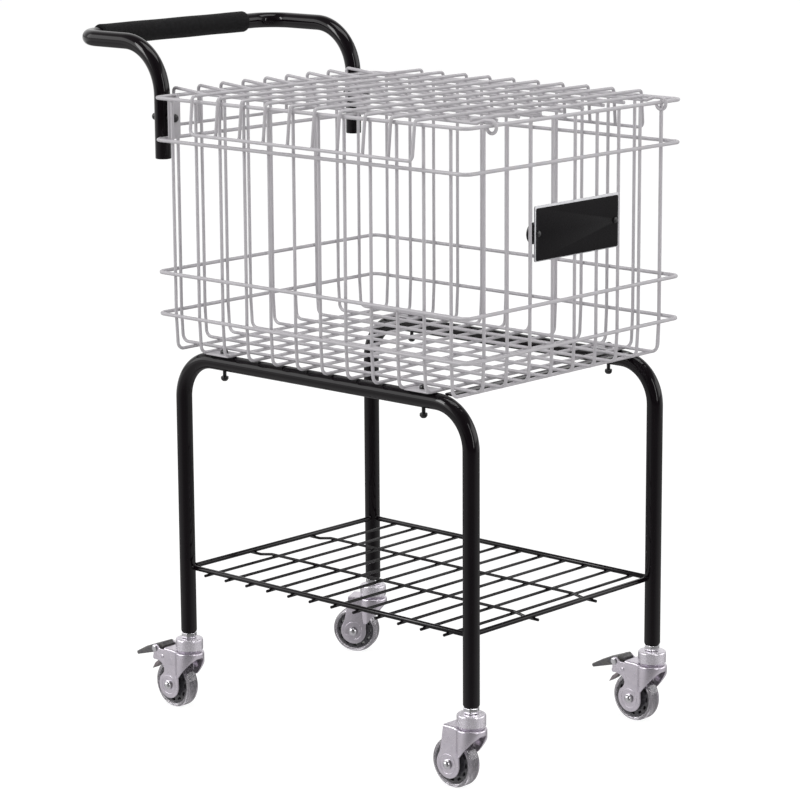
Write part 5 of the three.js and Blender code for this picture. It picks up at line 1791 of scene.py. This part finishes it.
    def add_cover(self, fork: Draft, edge: Sequence[tuple[float, ...]]) -> None:
        """Adds the flat of the fork's top, between the two halves of its bent edge.

        Args:
            fork: the fork's surfaces.
            edge: one half of the edge, from the rear to the nose.
        """
        inset = self.bend_r + self.plate_lap
        rows, cover = [], []
        for x, y, nx, ny, top, _ in edge:
            inner_x, inner_y = x - nx * inset, y - ny * inset
            for z in (top - self.hidden_step / 2, top - self.fork_t):
                rows += [(inner_x, inner_y, z), (inner_x, -inner_y, z)]
        for i in range(len(edge) - 1):
            a, c = 4 * i, 4 * i + 4
            cover += [(a, a + 1, c + 1, c), (a + 2, c + 2, c + 3, a + 3)]
        cover.append((0, 2, 3, 1))
        fork.add(rows, cover)

    def build_fork(self, finishes: Finishes) -> None:
        """Builds the pressed fork with its cheeks, raised race and axle.

        Args:
            finishes: the cart's finishes.
        """
        fork = Draft(self.base)
        self.add_pressing(fork)
        bore, foot = self.kingpin_r + self.race_gap, self.race_r + self.race_foot
        low, rim = self.fork_top_z - self.fork_t, self.fork_top_z - self.nose_drop
        high = self.cup_low_z - self.cup_gap
        race = [(bore, low), (foot, low)]
        race += [(self.race_r + out, rim + rise) for out, rise in self.race_rim]
        race += [(self.race_r - self.race_lip, high), (bore, high)]
        fork.turn(race, TUBE_SIDES, Matrix.Identity(4), ring=True)
        holes = [circle(self.axle_r + self.play, BORE_SIDES, (-self.trail, self.wheel_r))]
        if self.corner.has_brake:
            holes.append(circle(self.pin_hole_r, HOLE_SIDES, (self.pin_x, self.pin_z)))
        outline = self.cheek_outline()
        for sign in BOTH:
            place = moved(0, sign * (self.cheek_y - self.cheek_t / 2), 0, SIDE_VIEW)
            fork.plate(outline, self.cheek_t, self.cheek_bevel, place, holes)
            self.add_ring(fork, sign)
        if self.corner.has_brake:
            rivet = self.at_cheeks(self.rivet_end, -self.rivet_inset)
            fork.turn(rivet, HOLE_SIDES, self.leaf_place)
        self.finish(fork, "swivel_pressed_fork", "fork", finishes.zinc, "zinc_satin", "swivel",
                    crease=self.fork_crease)
        axle = Draft(self.base)
        profile = self.at_cheeks([*self.axle_end, (self.axle_r, 0)], self.axle_rise)
        axle.turn(profile, self.axle_sides, moved(-self.trail, 0, self.wheel_r, ALONG_Y))
        self.finish(axle, "axle_bolt", "axle", finishes.bright, "zinc_bright", "swivel")

    @property
    def leaf_place(self) -> Matrix:
        """Returns: the placement of what turns about the leaf's rivet."""
        x, z = self.leaf_hinge
        return moved(x, 0, z, ALONG_Y)

    def add_ring(self, fork: Draft, sign: int) -> None:
        """Adds the pressed ring round the axle.

        Args:
            fork: the fork's surfaces.
            sign: which cheek.
        """
        y = sign * (self.cheek_y - self.ring_sink)
        spots = circle(self.ring_r, self.ring_points, (-self.trail, self.wheel_r))
        path = [(x, y, z) for x, z in spots]
        fork.sweep(path, self.ring_wire_r, self.ring_sides, closed=True)

    def build_wheel(self, finishes: Finishes) -> None:
        """Builds the slotted hub and the tyre.

        Args:
            finishes: the cart's finishes.
        """
        centre = moved(-self.trail, 0, self.wheel_r)
        bore = self.axle_r + self.bearing_play
        holes = [circle(bore, BORE_SIDES)]
        slot = box_outline(self.slot_length / 2, self.slot_w / 2, self.slot_corner_r)
        for i in range(self.slot_count):
            turn = Matrix.Rotation(2 * math.pi * i / self.slot_count, 2)
            spots = [turn @ Vector((self.slot_r + b, a)) for a, b in slot]
            holes.append([(s.x, s.y) for s in spots])
        hub = Draft(self.base)
        disc = circle(self.core_r, self.core_sides)
        hub.plate(disc, self.core_w, self.core_bevel, centre @ SIDE_VIEW, holes)
        half, edge = self.cheek_y - self.cheek_t - self.bearing_play, self.boss_edge
        face = [(bore, -half), (self.boss_r - edge, -half), (self.boss_r, -half + edge)]
        hub.turn(both_ends(face), self.boss_sides, centre @ ALONG_Y, ring=True)
        self.finish(hub, "wheel_core", "wheel_hub", finishes.core, "wheel_core", "wheel")
        tyre = Draft(self.base)
        inner, w, r = self.core_r + self.tyre_gap, self.tyre_half_w, self.tyre_round_r
        side = [(inner + out, -w + inset) for out, inset in self.tyre_foot]
        for a in np.linspace(*self.tyre_round_arc, self.tyre_round_rows):
            side.append((self.wheel_r - r + r * math.sin(a), -w + r - r * math.cos(a)))
        tyre.turn(both_ends(side), self.tyre_sides, centre @ ALONG_Y, ring=True)
        self.finish(tyre, "tyre_tread", "tyre", finishes.tyre, "wheel_tyre", "wheel",
                    crease=self.tyre_crease)

    def wing(self, degrees: float, reach: float, root: float, tip: float,
             dome: float) -> list[Spot]:
        """Lays out one wing of the pedal about its pin.

        Args:
            degrees: its direction in side view.
            reach: its length.
            root: half its thickness at the pin.
            tip: half its thickness at the end.
            dome: how far the middle of its tread stands over a straight line.

        Returns: the outline.
        """
        angle = math.radians(degrees)
        turn = Matrix.Rotation(angle, 2)
        side = -math.copysign(1, math.cos(angle))
        half, middle = reach / 2, (root + tip) / 2
        corners = [(0, -root), (half, -middle + min(side, 0) * dome), (reach, -tip)]
        corners += [(reach, tip), (half, middle + max(side, 0) * dome), (0, root)]
        corners = [(x, y if side < 0 else -y) for x, y in corners]
        spots = [tuple(turn @ Vector(corner)) for corner in corners]
        return smooth_outline(spots, tip * self.wing_corner_share)

    def build_brake(self, finishes: Finishes) -> None:
        """Builds the pedal, its pin and the brake leaf.

        Args:
            finishes: the cart's finishes.
        """
        pin = moved(self.pin_x, 0, self.pin_z)
        pedal = Draft(self.base)
        for wing in self.wings:
            width = 2 * self.pedal_half_w
            pedal.plate(self.wing(*wing), width, self.wing_bevel, pin @ SIDE_VIEW)
        pedal.turn(both_ends(self.pedal_eye), self.axle_sides, pin @ ALONG_Y, ring=True)
        self.finish(pedal, "pedal_wings", "pedal", finishes.pedal, "pedal_grey", "pedal")
        bolt = Draft(self.base)
        profile = self.at_cheeks(self.pin_end, self.pin_rise)
        bolt.turn(profile, SCREW_SIDES, pin @ ALONG_Y)
        bright = finishes.bright
        self.finish(bolt, "pedal_pin_rivet", "pedal_pin", bright, "zinc_bright", "swivel")
        leaf = Draft(self.base)
        outline = smooth_outline(self.leaf_edge, self.leaf_corner_r)
        leaf.plate(outline, self.leaf_w, self.leaf_bevel, moved(0, 0, 0, SIDE_VIEW))
        leaf.turn(both_ends(self.leaf_eye), SCREW_SIDES, self.leaf_place, ring=True)
        self.finish(leaf, "leaf_spring", "brake_leaf", finishes.spring, "zinc_bright", "leaf")


# Studio

WHITE = (1, 1, 1, 1)
TIMES = {"operation": "MULTIPLY"}
SOFT = {"interpolation_type": "SMOOTHSTEP"}


@dataclass(frozen=True)
class Lamp:
    """A soft box: its name, place, aim, size and power."""

    name: str
    place: Point
    aim: Point
    size: tuple[float, float]
    power: float

    def build(self) -> None:
        """Builds the lamp."""
        light = bpy.data.lights.new(self.name, "AREA")
        light.shape = "RECTANGLE"
        light.size, light.size_y = self.size
        light.energy = self.power
        lamp = bpy.data.objects.new(self.name, light)
        lamp.location = self.place
        aim = Vector(self.aim) - Vector(self.place)
        lamp.rotation_euler = aim.to_track_quat("-Z", "Y").to_euler()
        bpy.context.scene.collection.objects.link(lamp)


def span(limits: tuple[float, float]) -> dict[str, float]:
    """Returns: where a change begins and ends, as the input range of a mapping."""
    return {"From_Min": limits[0], "From_Max": limits[1]}


@dataclass(frozen=True)
class Studio:
    """A white room: pale floor, soft boxes and the camera of the photo.

    The fades say between which cosines to a direction, or heights of one, a brightness changes.
    """

    eye_mm: Point = (2740.361, -3023.944, 1306.002)
    azimuth: float = 42.517
    elevation: float = 11.875
    roll: float = -0.343
    lens: float = 138.11
    sensor: float = 36.0
    clip_end: float = 200.0
    floor_reach: float = 60.0
    paper_tone: float = 0.86
    paper_share: float = 0.25
    paper_glow: float = 1.2
    ambient: float = 0.5
    side_glow: float = 0.62
    side_windows: float = 2.6
    dark_ahead: float = 0.1
    floor_ahead: float = 0.22
    far_floor: float = 1.0
    sheet_r: tuple[float, float] = (2.0, 3.4)
    floor_behind: float = 0.35
    wall_behind: float = 0.95
    dim_overhead: float = 0.35
    horizon_fade: tuple[float, float] = (-0.15, 0.1)
    front_fade: tuple[float, float] = (0.35, 0.95)
    back_fade: tuple[float, float] = (-0.85, -0.2)
    overhead_fade: tuple[float, float] = (0.35, 0.85)
    wall_fade: tuple[float, float] = (-0.85, -0.35)
    wall_foot: tuple[float, float] = (-0.02, 0.12)
    window_side: tuple[float, float] = (0.35, 0.5)
    window_foot: tuple[float, float] = (0.05, 0.12)
    window_head: tuple[float, float] = (0.5, 0.6)
    far_fade: tuple[float, float] = (0.0, 0.6)
    lamps: tuple[Lamp, ...] = (
        Lamp("key_box", (-1.6, -3.0, 2.6), (0.0, 0.0, 0.5), (0.8, 1.8), 45.0),
        Lamp("right_strip", (3.2, -0.6, 1.6), (0.0, 0.0, 0.6), (0.3, 2.6), 20.0),
        Lamp("top_box", (0.3, 0.4, 3.4), (0.0, 0.0, 0.5), (1.2, 2.4), 35.0),
    )

    def build(self) -> None:
        """Builds the studio."""
        self.build_floor()
        self.build_world()
        self.build_camera()
        for lamp in self.lamps:
            lamp.build()
        bpy.context.scene.view_settings.view_transform = "Standard"

    @property
    def ahead(self) -> Point:
        """Returns: the level direction from the cart towards the camera."""
        angle = math.radians(self.azimuth)
        return math.sin(angle), -math.cos(angle), 0.0

    def build_floor(self) -> None:
        """Builds the floor: white to the camera, with a soft part of the real shadow in it."""
        mesh = bpy.data.meshes.new("studio_floor")
        far = self.floor_reach
        corners = [(-far, -far, 0), (far, -far, 0), (far, far, 0), (-far, far, 0)]
        mesh.from_pydata(corners, [], [(0, 1, 2, 3)])
        floor = bpy.data.objects.new("studio_floor", mesh)
        bpy.context.scene.collection.objects.link(floor)
        material = bpy.data.materials.new("white_paper")
        board = NodeBoard(material)
        grain = board.add(
            "ShaderNodeBump", Height=board.pattern(3, 3), Distance=0.05 * MM, Strength=0.2
        )
        paper = board.add(
            "ShaderNodeBsdfDiffuse", Color=(*[self.paper_tone] * 3, 1), Roughness=0.5,
            Normal=grain.outputs[0],
        )
        rays = board.add("ShaderNodeLightPath")
        white = board.add("ShaderNodeEmission", Color=WHITE, Strength=self.paper_glow)
        seen = board.add(
            "ShaderNodeMath", {"operation": "MAXIMUM"},
            _0=rays.outputs["Is Camera Ray"], _1=rays.outputs["Is Transmission Ray"],
        )
        share = board.add("ShaderNodeMath", TIMES, _0=seen.outputs[0], _1=1 - self.paper_share)
        direct = board.add(
            "ShaderNodeMixShader", _0=share.outputs[0], _1=paper.outputs[0], _2=white.outputs[0]
        )
        sheet = board.add("ShaderNodeEmission", Color=WHITE, Strength=self.mirrored_floor(board))
        mixed = board.add(
            "ShaderNodeMixShader", _0=rays.outputs["Is Glossy Ray"],
            _1=direct.outputs[0], _2=sheet.outputs[0],
        )
        board.add("ShaderNodeOutputMaterial", Surface=mixed.outputs[0])
        mesh.materials.append(material)

    def build_world(self) -> None:
        """Builds the surroundings; in reflections they are white behind the cart and dark ahead."""
        world = bpy.data.worlds.new("white_room")
        bpy.context.scene.world = world
        board = NodeBoard(world)
        rays = board.add("ShaderNodeLightPath")
        level = board.add(
            "ShaderNodeMapRange", Value=rays.outputs["Is Glossy Ray"],
            To_Min=self.ambient, To_Max=self.mirrored_room(board),
        )
        direct = board.add(
            "ShaderNodeMath", {"operation": "MAXIMUM"},
            _0=rays.outputs["Is Camera Ray"], _1=rays.outputs["Is Transmission Ray"],
        )
        seen = board.add(
            "ShaderNodeMapRange", Value=direct.outputs[0], To_Min=level.outputs[0], To_Max=1.0
        )
        room = board.add("ShaderNodeBackground", Color=WHITE, Strength=seen.outputs[0])
        board.add("ShaderNodeOutputWorld", Surface=room.outputs[0])

    def mirrored_room(self, board: NodeBoard) -> bpy.types.NodeSocket:
        """Lays out what shiny pieces mirror.

        Bright windows stand at both sides and a white wall behind the cart, and it is dark ahead.

        Args:
            board: the world's node tree.

        Returns: the brightness by direction.
        """
        heading = board.add("ShaderNodeTexCoord").outputs["Generated"]
        facing = board.add(
            "ShaderNodeVectorMath", {"operation": "DOT_PRODUCT"}, _0=heading, _1=self.ahead
        ).outputs["Value"]
        height = board.add("ShaderNodeSeparateXYZ", _0=heading).outputs["Z"]
        near = board.add(
            "ShaderNodeMapRange", SOFT, Value=height, **span(self.horizon_fade),
            To_Min=self.floor_ahead, To_Max=self.dark_ahead,
        ).outputs[0]
        over = board.add(
            "ShaderNodeMapRange", SOFT, Value=height, **span(self.overhead_fade),
            To_Min=1.0, To_Max=self.dim_overhead,
        ).outputs[0]
        around = self.front_and_back(board, facing, near)
        room = board.add("ShaderNodeMath", TIMES, _0=around, _1=over).outputs[0]
        back = board.add(
            "ShaderNodeMapRange", SOFT, Value=facing, **span(self.wall_fade),
            To_Min=1.0, To_Max=0.0,
        ).outputs[0]
        above = board.add(
            "ShaderNodeMapRange", SOFT, Value=height, **span(self.wall_foot)
        ).outputs[0]
        wall = board.add("ShaderNodeMath", TIMES, _0=back, _1=above).outputs[0]
        plain = board.add(
            "ShaderNodeMapRange", Value=wall, To_Min=room, To_Max=self.wall_behind
        ).outputs[0]
        aside = board.add("ShaderNodeMath", {"operation": "ABSOLUTE"}, _0=facing).outputs[0]
        beside = board.add(
            "ShaderNodeMapRange", SOFT, Value=aside, **span(self.window_side),
            To_Min=1.0, To_Max=0.0,
        ).outputs[0]
        sill = board.add(
            "ShaderNodeMapRange", SOFT, Value=height, **span(self.window_foot)
        ).outputs[0]
        lintel = board.add(
            "ShaderNodeMapRange", SOFT, Value=height, **span(self.window_head),
            To_Min=1.0, To_Max=0.0,
        ).outputs[0]
        tall = board.add("ShaderNodeMath", TIMES, _0=sill, _1=lintel).outputs[0]
        window = board.add("ShaderNodeMath", TIMES, _0=tall, _1=beside).outputs[0]
        return board.add(
            "ShaderNodeMapRange", Value=window, To_Min=plain, To_Max=self.side_windows
        ).outputs[0]

    def front_and_back(self, board: NodeBoard, facing: bpy.types.NodeSocket,
                       near: object) -> bpy.types.NodeSocket:
        """Lays out the brightness from ahead of the cart round to behind it.

        Args:
            board: the node tree.
            facing: how far a direction points ahead, as a cosine.
            near: the brightness straight ahead.

        Returns: the brightness.
        """
        front = board.add(
            "ShaderNodeMapRange", SOFT, Value=facing, **span(self.front_fade),
            To_Min=self.side_glow, To_Max=near,
        )
        back = board.add(
            "ShaderNodeMapRange", SOFT, Value=facing, **span(self.back_fade),
            To_Min=self.floor_behind, To_Max=1.0,
        )
        both = board.add("ShaderNodeMath", TIMES, _0=front.outputs[0], _1=back.outputs[0])
        return both.outputs[0]

    def mirrored_floor(self, board: NodeBoard) -> bpy.types.NodeSocket:
        """Lays out the floor that shiny pieces mirror: a grey sheet near the cart, white beyond it.

        Args:
            board: the floor's node tree.

        Returns: the brightness by place and direction.
        """
        behind = tuple(-part for part in self.ahead)
        geometry = board.add("ShaderNodeNewGeometry")
        facing = board.add(
            "ShaderNodeVectorMath", {"operation": "DOT_PRODUCT"},
            _0=geometry.outputs["Incoming"], _1=behind,
        ).outputs["Value"]
        distance = board.add(
            "ShaderNodeVectorMath", {"operation": "LENGTH"}, _0=geometry.outputs["Position"]
        ).outputs["Value"]
        sheet = self.front_and_back(board, facing, self.floor_ahead)
        far = board.add(
            "ShaderNodeMapRange", SOFT, Value=facing, **span(self.far_fade),
            To_Min=self.far_floor, To_Max=self.dark_ahead,
        ).outputs[0]
        return board.add(
            "ShaderNodeMapRange", SOFT, Value=distance, **span(self.sheet_r),
            To_Min=sheet, To_Max=far,
        ).outputs[0]

    def build_camera(self) -> None:
        """Builds the camera of the photo."""
        data = bpy.data.cameras.new("photo_camera")
        data.lens, data.sensor_width = self.lens, self.sensor
        data.clip_end = self.clip_end
        camera = bpy.data.objects.new("photo_camera", data)
        az, el, roll = (math.radians(v) for v in (self.azimuth, self.elevation, self.roll))
        level = math.cos(el)
        ahead = np.array((-math.sin(az) * level, math.cos(az) * level, -math.sin(el)))
        right = np.array((math.cos(az), math.sin(az), 0.0))
        up = np.cross(right, ahead)
        across = math.cos(roll) * right + math.sin(roll) * up
        upright = -math.sin(roll) * right + math.cos(roll) * up
        rows = [[*row, 0.0] for row in np.column_stack((across, upright, -ahead))]
        matrix = Matrix([*rows, [0, 0, 0, 1]])
        x, y, z = self.eye_mm
        matrix.translation = Vector(((x + ORIGIN_SHIFT_X) * MM, y * MM, z * MM))
        camera.matrix_world = matrix
        bpy.context.scene.collection.objects.link(camera)
        bpy.context.scene.camera = camera


def main() -> None:
    """Builds the cart piece by piece, then the studio."""
    logging.basicConfig(level=logging.INFO, format="%(name)s: %(message)s")
    finishes = Finishes()
    casters = [Caster(corner) for corner in Corner]
    for part in [TubeFrame(), WireBasket(), Lid(), Handle(), NamePlate(), *casters]:
        LOG.info("building %s", type(part).__name__)
        part.build(finishes)
    Studio().build()


if __name__ == "__main__":
    main()
